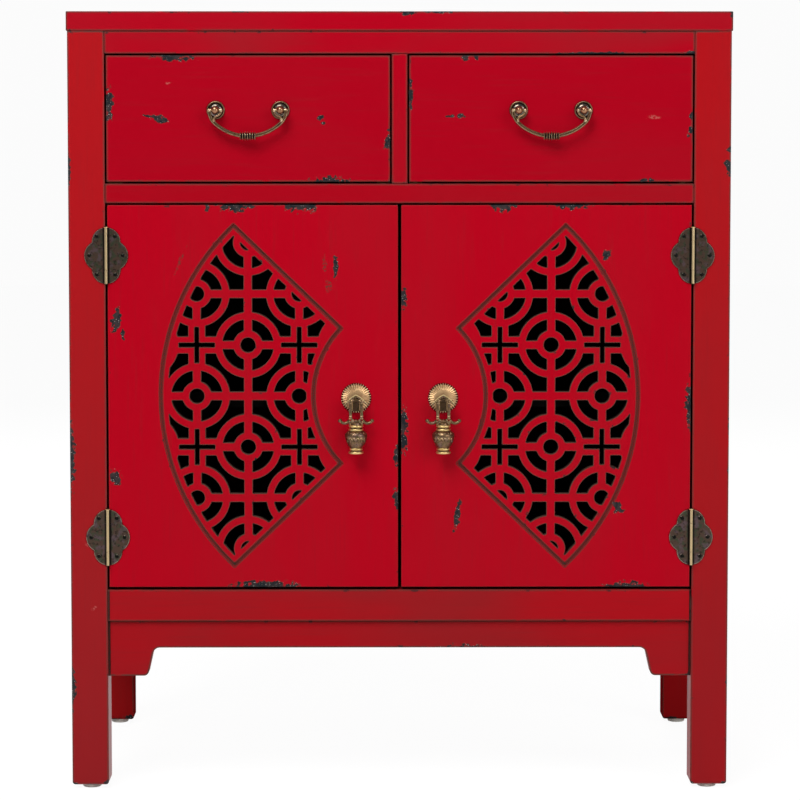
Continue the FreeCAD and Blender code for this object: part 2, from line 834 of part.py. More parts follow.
def hinge_leaf(side, level):
    """One lobed leaf with its knuckles: side -1 on the post has the end ones, 1 on the door the middle."""
    thickness = Vector(0, hinge_leaf_thickness, 0)
    y0 = front - hinge_leaf_thickness

    def lobe(radius, dx, dz):
        return Part.makeCylinder(radius, hinge_leaf_thickness, Vector(-hinge_line + dx, y0, level + dz),
                                 thickness)

    lobes = lobe(hinge_end_lobe_radius, 0, hinge_end_lobe_offset)
    lobes = lobes.fuse([lobe(hinge_end_lobe_radius, 0, -hinge_end_lobe_offset),
                        lobe(hinge_side_lobe_radius, side * hinge_side_lobe_offset, 0)])
    low = level - hinge_half_height
    high = level + hinge_half_height
    span = 2 * hinge_half_height
    clear = hinge_barrel_radius + hinge_plate_gap
    near = sorted((-hinge_line + side * clear, -hinge_line + side * span))
    plate = lobes.common(block(near[0], near[1], y0, front, low, high))
    axis = Vector(-hinge_line, hinge_axis_y, 0)
    inner_low = low + hinge_end_knuckle_length
    inner_high = high - hinge_end_knuckle_length
    if side > 0:
        spans = [(inner_low + hinge_knuckle_gap / 2, inner_high - hinge_knuckle_gap / 2)]
    else:
        spans = [(low, inner_low - hinge_knuckle_gap / 2), (inner_high + hinge_knuckle_gap / 2, high)]
    leaf = plate
    for z0, z1 in spans:
        barrel = rod(hinge_barrel_radius, axis + Vector(0, 0, z0), axis + Vector(0, 0, z1))
        reach = sorted((-hinge_line, -hinge_line + side * (clear + hinge_leaf_thickness)))
        wrap = block(reach[0], reach[1], y0, front, z0 + hinge_wrap_inset, z1 - hinge_wrap_inset)
        leaf = leaf.fuse([barrel, wrap])
    bore = rod(hinge_pin_radius + hinge_pin_clearance, axis + Vector(0, 0, low), axis + Vector(0, 0, high))
    holes = [rod(nail_radius + nail_clearance, Vector(-hinge_line + dx, y0, level + dz),
                 Vector(-hinge_line + dx, front, level + dz)) for dx, dz in nail_places(side)]
    return leaf.removeSplitter().cut([bore] + holes)


def hinge_pin(level):
    """The pin through a hinge's knuckles, with a flat head on top."""
    axis = Vector(-hinge_line, hinge_axis_y, level)
    low = axis - Vector(0, 0, hinge_half_height)
    high = axis + Vector(0, 0, hinge_half_height)
    head = rod(hinge_barrel_radius, high, high + Vector(0, 0, hinge_pin_head_height))
    return rod(hinge_pin_radius, low, high).fuse(head).removeSplitter()


def door_panel():
    """The left door: a board with the pierced fan, its groove and the holes for its hardware."""
    board = block(-opening_half + door_gap_hinge, -door_gap_meeting / 2, front, door_back,
                  door_low, door_high)
    board = ease_front(board, front)
    shank = lug_shank_radius + pull_pin_clearance
    seat = Vector(-pull_from_middle, front, pull_rosette_z)
    pull_hole = rod(shank, seat, seat + Vector(0, lug_shank_length, 0))
    pilot_holes = hinge_nails(1, nail_radius + nail_clearance, False)
    return board.cut([fan_groove(), pull_hole] + pilot_holes).cut(lattice_holes())


def catch_plate():
    """The strike plate on the back of the left door."""
    x = -catch_from_middle
    z1 = door_high - (catch_height - plate_height) / 2
    return block(x - plate_length / 2, x + plate_length / 2, door_back, door_back + plate_thickness,
                 z1 - plate_height, z1)


def door_catch():
    """The magnetic catch under the middle rail, behind the left door."""
    x = -catch_from_middle
    return block(x - catch_length / 2, x + catch_length / 2, door_back + plate_thickness, post_back,
                 z_door_head - catch_height, z_door_head)


# Door pulls, drawn on the left door

def pull_rosette():
    """The domed starburst: a turned cap with radial flutes and a pointed edge."""
    hole = lug_shank_radius + pull_pin_clearance
    edge = Vector(starburst_radius, -starburst_edge_height, 0)
    land = Vector(starburst_land_radius, -starburst_crown_height, 0)
    swell = (edge + land) / 2 - Vector(0, starburst_swell, 0)
    inner_land = Vector(hole, -starburst_crown_height, 0)
    foot = Vector(starburst_radius, 0, 0)
    inner_foot = Vector(hole, 0, 0)
    profile = [Part.makeLine(inner_foot, foot), Part.makeLine(foot, edge),
               Part.Arc(edge, swell, land).toShape(), Part.makeLine(land, inner_land),
               Part.makeLine(inner_land, inner_foot)]
    cap = turned(profile, Vector(0, 0, 0), Vector(0, 1, 0))
    start = Vector(starburst_flute_start, -starburst_crown_height - starburst_swell / 2, 0)
    run = Vector(starburst_radius + starburst_flute_radius, -starburst_edge_height, 0) - start
    flute = Part.makeCone(0, starburst_flute_radius, run.Length, start, run)
    flutes = []
    for i in range(starburst_flute_count):
        copy = flute.copy()
        copy.rotate(Vector(0, 0, 0), Vector(0, 1, 0), 360 * i / starburst_flute_count)
        flutes.append(copy)
    step = math.pi / starburst_flute_count
    points = []
    for i in range(2 * starburst_flute_count):
        reach = starburst_point_reach if i % 2 else starburst_notch_radius
        points.append(in_front_view(reach * math.cos(i * step), reach * math.sin(i * step)))
    star = Part.Face(Part.Wire(lines_through(points)))
    cap = cap.common(star.extrude(Vector(0, -starburst_crown_height, 0))).cut(flutes)
    cap.translate(Vector(-pull_from_middle, front, pull_rosette_z))
    return cap


def pull_lug():
    """The lug that carries the drop: an eye and strap on a neck, screwed in through the rosette."""
    eye_half = Vector(lug_eye_width / 2, 0, 0)
    eye = rod(lug_eye_radius, Vector(0, 0, 0) - eye_half, eye_half)
    strap = block(-lug_strap_width / 2, lug_strap_width / 2, -lug_strap_thickness / 2,
                  lug_strap_thickness / 2, -lug_strap_drop, -lug_strap_top)
    land = Vector(0, pull_axis_reach - starburst_crown_height, lug_droop)
    collar_face = land - Vector(0, lug_collar_height, 0)
    collar = rod(lug_collar_radius, collar_face, land)
    neck = rod(lug_neck_radius, Vector(0, 0, 0), collar_face)
    shank = rod(lug_shank_radius, land, land + Vector(0, starburst_crown_height + lug_shank_length, 0))
    lug = eye.fuse([strap, collar, neck, shank]).removeSplitter()
    reach = Vector(lug_strap_width, 0, 0)
    lug = lug.cut(rod(pull_pin_radius + pull_pin_clearance, Vector(0, 0, 0) - reach, reach))
    lug.translate(Vector(-pull_from_middle, pull_axis_y, pull_axis_z))
    return lug


def drop_plate(outline):
    """A flat plate of the drop from its outline as seen from the front."""
    face = Part.Face(Part.Wire(lines_through([in_front_view(u, v) for u, v in outline])))
    plate = face.extrude(Vector(0, drop_frame_thickness, 0))
    plate.translate(Vector(0, -drop_frame_thickness / 2, 0))
    return plate


def drop_frame():
    """The flat upper casting of the drop: roof, two columns and a crested sill."""
    inner = drop_column_gap / 2
    outer = inner + drop_column_width
    eave = drop_roof_half_width
    fall = math.tan(math.radians(drop_roof_slope))
    under = drop_roof_clear
    over = under + drop_roof_thickness / math.cos(math.radians(drop_roof_slope))
    roof = [(0, over), (-eave, over - fall * eave), (-eave, under - fall * eave), (0, under),
            (eave, under - fall * eave), (eave, over - fall * eave)]
    sill = [(-outer, -drop_sill_drop), (-outer, -drop_base_drop), (outer, -drop_base_drop),
            (outer, -drop_sill_drop), (inner, -drop_sill_drop), (0, -drop_sill_drop + drop_crest_height),
            (-inner, -drop_sill_drop)]
    pieces = [drop_plate(sill)]
    for side in (-1, 1):
        column = [(side * inner, -drop_sill_drop), (side * outer, -drop_sill_drop),
                  (side * outer, under - fall * outer), (side * inner, under - fall * inner)]
        pieces.append(drop_plate(column))
    return drop_plate(roof).fuse(pieces)


def drop_wing():
    """The left upturned wing at the drop's base, swept along an arc."""
    start = Vector(0, 0, -drop_base_drop + drop_wing_radius)
    tip = Vector(-drop_wing_reach, 0, start.z + drop_wing_tip_rise)
    dip = Vector(-drop_wing_reach / 2, 0, start.z - drop_wing_dip)
    path = Part.Wire([Part.Arc(start, dip, tip).toShape()])
    direction = path.Edges[0].tangentAt(path.Edges[0].FirstParameter)
    profile = Part.Wire(Part.makeCircle(drop_wing_radius, start, direction))
    wing = path.makePipeShell([profile], True, True)
    return wing.fuse(Part.makeSphere(drop_wing_radius, tip))


def drop_vase():
    """The hanging vase: a turned body with two rings at the neck and two at the foot."""
    z_neck = -drop_base_drop
    z_body = z_neck - vase_ring_pitch - vase_ring_thickness
    z_foot = -vase_foot_drop
    neck_top = Vector(0, 0, z_neck)
    neck = Vector(vase_neck_radius, 0, z_neck)
    neck_foot = Vector(vase_neck_radius, 0, z_body)
    body_top = Vector(vase_ring_radius, 0, z_body)
    shoulder = Vector(vase_shoulder_radius, 0, -vase_shoulder_drop)
    waist = Vector(vase_waist_radius, 0, -vase_waist_drop)
    waist_foot = Vector(vase_waist_radius, 0, z_foot)
    end = Vector(0, 0, z_foot)
    over_shoulder = (body_top + shoulder) / 2 + Vector(1, 0, 1).normalize() * (vase_shoulder_round / 2)
    belly = (shoulder + waist) / 2 + Vector(vase_belly_swell, 0, 0)
    profile = [Part.makeLine(end, neck_top), Part.makeLine(neck_top, neck), Part.makeLine(neck, neck_foot),
               Part.makeLine(neck_foot, body_top), Part.Arc(body_top, over_shoulder, shoulder).toShape(),
               Part.Arc(shoulder, belly, waist).toShape(), Part.makeLine(waist, waist_foot),
               Part.makeLine(waist_foot, end)]
    body = turned(profile, Vector(0, 0, 0), Vector(0, 0, 1))
    rings = []
    for top, radius in ((z_neck, vase_ring_radius), (z_neck - vase_ring_pitch, vase_ring_radius),
                        (-vase_waist_drop, vase_lower_ring_radius),
                        (z_foot + vase_ring_thickness, vase_foot_radius)):
        disc = Part.makeCylinder(radius, vase_ring_thickness, Vector(0, 0, top - vase_ring_thickness))
        rings.append(disc.makeFillet(vase_ring_round, [edge for edge in disc.Edges if edge.Closed]))
    return body.fuse(rings)


def pull_drop():
    """The left door's drop, hanging on its pin."""
    wing = drop_wing()
    half = drop_column_gap / 2 + drop_column_width
    pin = rod(pull_pin_radius, Vector(-half, 0, 0), Vector(half, 0, 0))
    drop = drop_frame().fuse([wing, mirrored(wing), drop_vase(), pin]).removeSplitter()
    drop.translate(Vector(-pull_from_middle, pull_axis_y, pull_axis_z))
    return drop


# Feet

def glide(foot):
    """A plastic glide with its nail, under a left-hand leg."""
    disc = Part.makeCylinder(glide_radius, glide_height, foot)
    low_edge = [edge for edge in disc.Edges if edge.Closed and edge.BoundBox.ZMax < tiny]
    disc = disc.makeFillet(glide_edge_radius, low_edge)
    return disc.fuse(glide_nail(foot, nail_radius)).removeSplitter()


def glide_nail(foot, radius):
    """The glide's nail, or its hole in the leg."""
    start = foot + Vector(0, 0, glide_height)
    return rod(radius, start, start + Vector(0, 0, glide_nail_length))


# Assembly

def build():
    """All the nodes by name."""
    nodes = {}
    front_foot = Vector(-half_width + post_width / 2, front + post_depth / 2, 0)
    rear_foot = Vector(-half_width + rear_post_width / 2, back - rear_post_depth / 2, 0)
    rails = {"front_top_rail": (front, front + rail_depth, z_drawer_head, z_top_under),
             "front_middle_rail": (front, post_back, z_door_head, z_drawer_sill),
             "front_bottom_rail": (front, front + rail_depth, z_rail, z_door_sill)}
    rear_rails = {"rear_top_rail": (back_inner - rear_rail_depth, back_inner,
                                    z_top_under - rear_top_rail_height, z_top_under),
                  "rear_bottom_rail": (back_inner - rear_rail_depth, back_inner,
                                       floor_under - rear_bottom_rail_height, floor_under)}
    front_mortises = [tenon(opening_half, (y0 + y1) / 2, z0, z1) for y0, y1, z0, z1 in rails.values()]
    apron_middle = front + apron_setback + apron_thickness / 2
    front_mortises.append(tenon(opening_half, apron_middle, z_spandrel, z_rail))
    rear_mortises = [tenon(rear_opening_half, (y0 + y1) / 2, z0, z1)
                     for y0, y1, z0, z1 in rear_rails.values()]
    panel = side_panel()
    hole = nail_radius + nail_clearance
    front_post = post(opening_half, front, post_back)
    front_post = front_post.cut(front_mortises + side_apron_tenons() + [panel, glide_nail(front_foot, hole)])
    front_post = front_post.cut(hinge_nails(-1, hole, False))
    rear_post = post(rear_opening_half, rear_post_front, back)
    rear_post = rear_post.cut(rear_mortises + side_apron_tenons()
                              + [panel, back_panel(), glide_nail(rear_foot, hole)])
    nodes["top_board"] = top_board()
    nodes["front_left_post"] = front_post
    nodes["front_right_post"] = mirrored(front_post)
    nodes["rear_left_post"] = rear_post
    nodes["rear_right_post"] = mirrored(rear_post)
    for name, (y0, y1, z0, z1) in rails.items():
        nodes[name] = rail(opening_half, y0, y1, z0, z1)
    for name, (y0, y1, z0, z1) in rear_rails.items():
        nodes[name] = rail(rear_opening_half, y0, y1, z0, z1)
    nodes["front_top_rail"] = nodes["front_top_rail"].cut(upper_divider_tenon)
    nodes["front_middle_rail"] = nodes["front_middle_rail"].cut([lower_divider_tenon, deck_tongue])
    nodes["front_bottom_rail"] = nodes["front_bottom_rail"].cut(floor_tongue)
    nodes["front_apron"] = front_apron()
    nodes["drawer_divider"] = drawer_divider()
    nodes["drawer_deck"] = drawer_deck()
    nodes["cupboard_floor"] = cupboard_floor()
    panel = panel.cut([nodes["drawer_deck"], nodes["cupboard_floor"]])
    nodes["left_side_panel"] = panel
    nodes["right_side_panel"] = mirrored(panel)
    nodes["left_side_apron"] = side_apron()
    nodes["right_side_apron"] = mirrored(side_apron())
    nodes["back_panel"] = back_panel()
    nodes["cupboard_shelf"] = cupboard_shelf()
    nodes["shelf_cleats"] = Part.makeCompound([shelf_cleat(), mirrored(shelf_cleat())])
    nodes["drawer_centre_guide"] = drawer_centre_guide()
    nodes["drawer_side_guides"] = Part.makeCompound([drawer_side_guide(), mirrored(drawer_side_guide())])
    nodes["door_catches"] = Part.makeCompound([door_catch(), mirrored(door_catch())])
    glides = [glide(front_foot), glide(rear_foot)]
    nodes["foot_glides"] = Part.makeCompound(glides + [mirrored(foot) for foot in glides])
    leaves = [hinge_leaf(-1, level) for level in hinge_levels()]
    nodes["hinge_frame_leaves"] = Part.makeCompound(leaves + [mirrored(leaf) for leaf in leaves])
    pins = [hinge_pin(level) for level in hinge_levels()]
    nodes["hinge_pins"] = Part.makeCompound(pins + [mirrored(pin) for pin in pins])
    nails = hinge_nails(-1, nail_radius, True)
    nodes["frame_hinge_nails"] = Part.makeCompound(nails + [mirrored(nail) for nail in nails])

    left = {"drawer_rosettes": Part.makeCompound([drawer_rosette(x) for x in bail_post_places()]),
            "drawer_handle_posts": Part.makeCompound([handle_post(x) for x in bail_post_places()]),
            "drawer_handle_nuts": Part.makeCompound([handle_nut(x) for x in bail_post_places()]),
            "drawer_bail": drawer_bail(),
            "door_panel": door_panel(),
            "door_hinge_leaves": Part.makeCompound([hinge_leaf(1, level) for level in hinge_levels()]),
            "door_hinge_nails": Part.makeCompound(hinge_nails(1, nail_radius, True)),
            "door_catch_plate": catch_plate(),
            "pull_rosette": pull_rosette(),
            "pull_lug": pull_lug(),
            "pull_drop": pull_drop()}
    for name, shape in left.items():
        nodes["left_" + name] = shape
        nodes["right_" + name] = mirrored(shape)
    drawer = drawer_pieces()
    for side, outer, inner in (("left", "left", "right"), ("right", "right", "left")):
        names = {"front": "front", "back": "back", "bottom": "bottom", "outer_side": outer + "_side",
                 "inner_side": inner + "_side"}
        for piece, name in names.items():
            shape = drawer[piece] if side == "left" else mirrored(drawer[piece])
            nodes[side + "_drawer_" + name] = shape
    return nodes


os.makedirs("parts", exist_ok=True)
for node_name, node_shape in build().items():
    node_shape.exportStep("parts/" + node_name + ".step")
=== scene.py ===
"""Dresses the entryway cabinet: worn red lacquer, aged bronze hinges, drawer bails and vase pulls."""

import logging
import math
from collections.abc import Sequence
from dataclasses import dataclass
from enum import Enum
from functools import partial

import bmesh
import bpy
from mathutils import Matrix, Vector


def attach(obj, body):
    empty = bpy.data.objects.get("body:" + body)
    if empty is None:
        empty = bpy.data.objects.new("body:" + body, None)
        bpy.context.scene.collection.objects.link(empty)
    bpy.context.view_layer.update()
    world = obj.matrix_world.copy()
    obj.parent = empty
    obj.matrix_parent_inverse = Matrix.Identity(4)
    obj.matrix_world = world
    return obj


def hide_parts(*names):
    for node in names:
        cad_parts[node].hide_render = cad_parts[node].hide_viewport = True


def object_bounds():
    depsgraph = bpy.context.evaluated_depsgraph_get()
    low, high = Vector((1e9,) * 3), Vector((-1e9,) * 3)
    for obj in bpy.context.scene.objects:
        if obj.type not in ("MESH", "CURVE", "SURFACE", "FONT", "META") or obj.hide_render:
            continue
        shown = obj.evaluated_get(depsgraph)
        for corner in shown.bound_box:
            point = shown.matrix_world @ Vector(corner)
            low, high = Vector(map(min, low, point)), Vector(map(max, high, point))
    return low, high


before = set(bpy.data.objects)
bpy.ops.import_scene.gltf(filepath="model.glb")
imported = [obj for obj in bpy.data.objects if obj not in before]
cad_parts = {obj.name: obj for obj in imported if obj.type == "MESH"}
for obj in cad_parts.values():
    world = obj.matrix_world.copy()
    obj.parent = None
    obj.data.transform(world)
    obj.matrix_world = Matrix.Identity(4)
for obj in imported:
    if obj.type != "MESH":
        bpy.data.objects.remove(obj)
cad_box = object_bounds()

log = logging.getLogger("entryway_cabinet")

MM = 0.001
CREASE_DEGREES = 40
# Points closer than this, in millimetres, are one point
WELD = 0.002
ALONG_X = Matrix.Rotation(math.pi / 2, 4, "Y")

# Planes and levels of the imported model, in millimetres
FRONT = -153.1
REAR_POST_FRONT = 150.9
DOOR_MIDDLE_Z = 379.45
DOOR_HALF_HEIGHT = 183.15
DOOR_MEETING_EDGE = 1.5
DOOR_HINGE_EDGE = 278.2
POST_INNER_FACE = 280.0
HINGE_AXIS_X = 279.1
DRAWER_MIDDLE_X = 143.75
POST_SPACING = 61.5
BAIL_AXIS_Y = -162.6
BAIL_AXIS_Z = 652.45
PULL_FROM_MIDDLE = 41.5
PULL_AXIS_Y = -166.1
PULL_AXIS_Z = 376.95

Mesh = bmesh.types.BMesh
Material = bpy.types.Material
Mask = bpy.types.NodeSocket
Coat = tuple[str, Mask]


class Side(Enum):
    """The two halves of the cabinet, with the sign of their x."""

    LEFT = -1
    RIGHT = 1

    @property
    def word(self) -> str:
        """The word that starts the names of this side's pieces."""
        return self.name.lower()


class Grain(Enum):
    """The way a board's brush marks and grain run."""

    ACROSS = 0
    DEEP = 1
    UP = 2

    def stretch(self, times: float) -> tuple[float, ...]:
        """How a pattern is squeezed so that it comes out this many times longer along the grain."""
        return tuple(1.0 / times if axis == self.value else 1.0 for axis in range(3))


def linear(colour: str) -> tuple[float, float, float, float]:
    """Turns an sRGB hex colour into the linear colour that shaders use.

    Args:
        colour: six hex digits after a hash sign.

    Returns:
        Red, green and blue from 0 to 1, and a full alpha.
    """
    channels = []
    for start in (1, 3, 5):
        value = int(colour[start:start + 2], 16) / 255
        channels.append(value / 12.92 if value <= 0.04045 else ((value + 0.055) / 1.055) ** 2.4)
    return channels[0], channels[1], channels[2], 1.0


def add_node(tree: bpy.types.NodeTree, kind: str, inputs: dict | None = None, output: int | str = 0,
             **settings: object) -> Mask:
    """Adds a node, sets it, fills its inputs and gives one of its outputs.

    Args:
        tree: the node tree to add to.
        kind: the node's type without its ShaderNode prefix.
        inputs: a value or another node's output for each input, by name or number.
        output: the output that is wanted, by name or number.
        settings: the node's own properties.

    Returns:
        The wanted output socket.
    """
    node = tree.nodes.new("ShaderNode" + kind)
    for name, value in settings.items():
        setattr(node, name, value)
    for socket, value in (inputs or {}).items():
        if isinstance(value, bpy.types.NodeSocket):
            tree.links.new(value, node.inputs[socket])
        else:
            node.inputs[socket].default_value = value
    return node.outputs[output]


class Bench:
    """A material under work: its node tree, its shader and each point's place in millimetres."""

    # How open a point is where a worn edge or a hollow begins, and where it is full
    EDGE_LEVELS = (0.92, 0.70)
    HOLLOW_LEVELS = (0.85, 0.35)
    OPENNESS_SAMPLES = 8

    def __init__(self, name: str, roughness: float, metallic: float = 0.0, specular: float = 0.5) -> None:
        """Starts a material with its constant values on the shader's own sockets.

        Args:
            name: the material's name.
            roughness: the shader's roughness where nothing changes it.
            metallic: 1 for bare metal.
            specular: the shader's specular level, 0.5 for a common clear finish.
        """
        self.material = bpy.data.materials.new(name)
        self.material.use_nodes = True
        self.shader = self.material.node_tree.nodes["Principled BSDF"]
        self.shader.inputs["Roughness"].default_value = roughness
        self.shader.inputs["Metallic"].default_value = metallic
        self.shader.inputs["Specular IOR Level"].default_value = specular
        self.add = partial(add_node, self.material.node_tree)
        coordinates = self.add("TexCoord", output="Object")
        self.place = self.add("VectorMath", {0: coordinates, "Scale": 1 / MM}, operation="SCALE")

    def clouds(self, size: float, low: float, high: float, strength: float = 1.0,
               stretch: Sequence[float] = (1.0, 1.0, 1.0), detail: float = 3.0) -> Mask:
        """Soft patches of one size, from none to full between two levels of the noise.

        Args:
            size: the patches' size in millimetres, across the grain.
            low: noise level where a patch begins.
            high: noise level where it is full.
            strength: the mask's value where it is full.
            stretch: squeeze of the pattern along each axis.
            detail: how many finer octaves break the patches up.

        Returns:
            A mask.
        """
        squeezed = self.add("Mapping", {"Vector": self.place, "Scale": stretch})
        noise = self.add("TexNoise", {"Vector": squeezed, "Scale": 1 / size, "Detail": detail})
        return self.add("MapRange", {0: noise, 1: low, 2: high, 4: strength}, interpolation_type="SMOOTHSTEP")

    def worn_edges(self, width: float, broken: Mask | float = 1.0) -> Mask:
        """Where a surface lies near one of its piece's edges.

        Args:
            width: how far the mask reaches from an edge, in millimetres.
            broken: a mask that breaks the edges up.

        Returns:
            A mask, full at the edge.
        """
        depth = self.add("AmbientOcclusion", {"Distance": width * MM}, "AO", samples=self.OPENNESS_SAMPLES,
                         inside=True, only_local=True)
        begin, full = self.EDGE_LEVELS
        edge = self.add("MapRange", {0: depth, 1: begin, 2: full}, interpolation_type="SMOOTHSTEP")
        return self.add("Math", {0: edge, 1: broken}, operation="MULTIPLY")

    def hollows(self, reach: float, alone: bool = True) -> Mask:
        """Where a surface lies in a groove or corner.

        Args:
            reach: how far a neighbouring surface counts, in millimetres.
            alone: whether only surfaces of the same piece count.

        Returns:
            A mask, full in the deepest places.
        """
        sky = self.add("AmbientOcclusion", {"Distance": reach * MM}, "AO", samples=self.OPENNESS_SAMPLES,
                       only_local=alone)
        begin, full = self.HOLLOW_LEVELS
        return self.add("MapRange", {0: sky, 1: begin, 2: full}, interpolation_type="SMOOTHSTEP")

    def coats(self, ground: str, layers: Sequence[Coat]) -> Mask:
        """Lays colours one over another, each where its mask says.

        Args:
            ground: hex colour of the lowest coat.
            layers: a hex colour and a mask for each coat above it.

        Returns:
            The finished colour.
        """
        under = linear(ground)
        for colour, mask in layers:
            under = self.add("Mix", {0: mask, 6: under, 7: linear(colour)}, output=2, data_type="RGBA")
        return under

    def gloss(self, base: float, changes: Sequence[tuple[float, Mask]]) -> Mask:
        """The roughness, and how it differs where masks say.

        Args:
            base: the roughness where no mask shows.
            changes: a roughness and a mask for each difference.

        Returns:
            The finished roughness.
        """
        rough = base
        for value, mask in changes:
            rough = self.add("Mix", {0: mask, 2: rough, 3: value}, data_type="FLOAT")
        return rough

    def finish(self, colour: Mask, rough: Mask | None = None, height: Mask | None = None,
               depth: float = 0.1) -> Material:
        """Joins the patterns to the shader.

        Args:
            colour: the finished colour.
            rough: the finished roughness, where it varies.
            height: a mask that raises the surface, 1 at the highest places.
            depth: the height between 0 and 1, in millimetres.

        Returns:
            The finished material.
        """
        joins = [("Base Color", colour), ("Roughness", rough)]
        if height is not None:
            joins.append(("Normal", self.add("Bump", {"Height": height, "Distance": depth * MM})))
        for socket, pattern in joins:
            if pattern is not None:
                self.material.node_tree.links.new(pattern, self.shader.inputs[socket])
        return self.material


@dataclass(frozen=True)
class Chip:
    """A place where the lacquer is gone: middle, width and height in millimetres, on the plane at y.

    A bare chip shows the dark ground, and a rub only the coat under the lacquer.
    """

    x: float
    z: float
    wide: float
    high: float
    lean: float = 0.0
    bare: bool = True
    y: float = FRONT


@dataclass(frozen=True)
class RedLacquer:
    """Brushed red lacquer over a dark ground: silky, faintly streaked, rubbed through on its edges."""

    name: str
    red: str = "#B4001B"
    dull: str = "#9A1C24"
    dulled: float = 0.35
    grain: Grain = Grain.UP
    edge_wear: float = 0.95
    edge_width: float = 2.6
    shine: float = 0.06
    rubbed: str = "#BE5A56"
    # Painted shade towards the feet: how dark it gets at the floor, and the height where it begins
    grimy_foot: float = 0.0
    foot_shade_top: float = 560.0
    joint_at: float = 0.0
    joint_width: float = 2.5
    joint_blur: float = 0.7
    chips: tuple[Chip, ...] = ()
    bared_edge: str = "#5E3A34"
    nick_dark: str = "#352C2C"
    # Colour of the painted shade and dirt in the seams and round the fittings
    seam_dirt_and_shade: str = "#1C0C0B"
    # Colour of the painted shade towards the feet
    foot_shade_colour: str = "#7A1216"
    joint_dirt: str = "#140709"
    chip_rim: str = "#6A3630"
    chip_ground: str = "#22262A"
    chip_stain: str = "#3C3435"
    chip_crumb: str = "#B9B4AE"
    roughness: float = 0.36
    brush_depth: float = 0.03

    def make(self) -> Material:
        """Makes the material."""
        return self.paint(Bench(self.name, self.roughness, specular=self.shine), [], 0.0)

    def paint(self, bench: Bench, cuts: Sequence[Coat], held: Mask | float) -> Material:
        """Lays the coats: lacquer, smudges, brush streaks, painted shade towards the feet, joint dirt, worn
        edges, nicks, painted shade and dirt in the seams, cuts and chips.

        Args:
            bench: the material under work.
            cuts: coats inside the piece's cuts.
            held: a mask of places where every edge is worn.

        Returns:
            The finished material.
        """
        # Smudges are about a hand wide, brush marks 2.5 mm apart and many times longer.
        # Edges are worn in runs of about 16 mm, with nicks of 9 mm
        smudge = bench.clouds(110, 0.42, 0.68, self.dulled, self.grain.stretch(2.5))
        streak = bench.clouds(2.5, 0.50, 0.78, 0.25, self.grain.stretch(22), 2)
        whole = bench.clouds(16, 0.25, 0.45, self.edge_wear)
        edge = bench.worn_edges(self.edge_width, bench.add("Math", {0: whole, 1: held}, operation="MAXIMUM"))
        nick = bench.worn_edges(4.0, bench.clouds(9, 0.66, 0.70, detail=2))
        # Painted shade with some dirt: darker in grooves, gaps and round the fittings, wherever a
        # neighbouring surface comes close
        seam = bench.hollows(3.5, alone=False)
        layers = [(self.dull, smudge), (self.dull, streak), *self.foot_shade_and_joint_dirt(bench), (self.bared_edge, edge),
                  (self.nick_dark, nick), (self.seam_dirt_and_shade, seam), *cuts]
        rough = [(0.52, smudge), (0.65, edge), (0.7, nick)]
        brushed = bench.clouds(1.2, 0.2, 0.8, stretch=self.grain.stretch(12), detail=1)
        if self.chips:
            flake, rim, rub, crumb = self.flakes(bench)
            stain = bench.add("Math", {0: flake, 1: bench.clouds(5, 0.4, 0.6)}, operation="MULTIPLY")
            layers += [(self.chip_rim, rim), (self.rubbed, rub), (self.chip_ground, flake),
                       (self.chip_stain, stain), (self.chip_crumb, crumb)]
            rough.append((0.7, flake))
        colour = bench.coats(self.red, layers)
        return bench.finish(colour, bench.gloss(self.roughness, rough), brushed, self.brush_depth)

    def foot_shade_and_joint_dirt(self, bench: Bench) -> list[Coat]:
        """Painted shade that darkens the lacquer towards the feet, and the dirt in the joints at a rail's
        ends.

        Args:
            bench: the material under work.

        Returns:
            The coats of painted shade and of dirt.
        """
        coats = []
        # Painted shade: darker from a given height down to the floor
        if self.grimy_foot:
            height = bench.add("SeparateXYZ", {0: bench.place}, output="Z")
            low = bench.add("MapRange", {0: height, 1: self.foot_shade_top, 2: 0.0, 4: self.grimy_foot})
            coats.append((self.foot_shade_colour, low))
        if self.joint_at:
            across = bench.add("SeparateXYZ", {0: bench.place}, output="X")
            outward = bench.add("Math", {0: across}, operation="ABSOLUTE")
            start = self.joint_at - self.joint_width
            joint = bench.add("MapRange", {0: outward, 1: start, 2: start + self.joint_blur})
            coats.append((self.joint_dirt, joint))
        return coats

    def flakes(self, bench: Bench) -> tuple[Mask, Mask, Mask, Mask]:
        """The chips' bare middles, their brown rims, the rubs and a few pale crumbs round the chips.

        Args:
            bench: the material under work.

        Returns:
            Four masks: bare ground, rims, rubs and crumbs.
        """
        chipped = self.distance(bench, [chip for chip in self.chips if chip.bare])
        rubbed = self.distance(bench, [chip for chip in self.chips if not chip.bare])
        # The broken distance is about 1.4 on a chip's outline and grows outwards
        outline = 1.44
        nearby = 1.7
        flake = bench.add("MapRange", {0: chipped, 1: outline, 2: 1.38})
        rim = bench.add("MapRange", {0: chipped, 1: 1.62, 2: outline, 4: 0.8})
        patchy = bench.clouds(1.8, 0.42, 0.58, 0.9)
        thin = bench.add("MapRange", {0: rubbed, 1: nearby, 2: 1.2})
        rub = bench.add("Math", {0: thin, 1: patchy}, operation="MULTIPLY")
        near = bench.add("MapRange", {0: chipped, 1: nearby, 2: 1.4})
        crumbs = bench.clouds(1.1, 0.72, 0.77, 0.8, detail=0)
        return flake, rim, rub, bench.add("Math", {0: near, 1: crumbs}, operation="MULTIPLY")

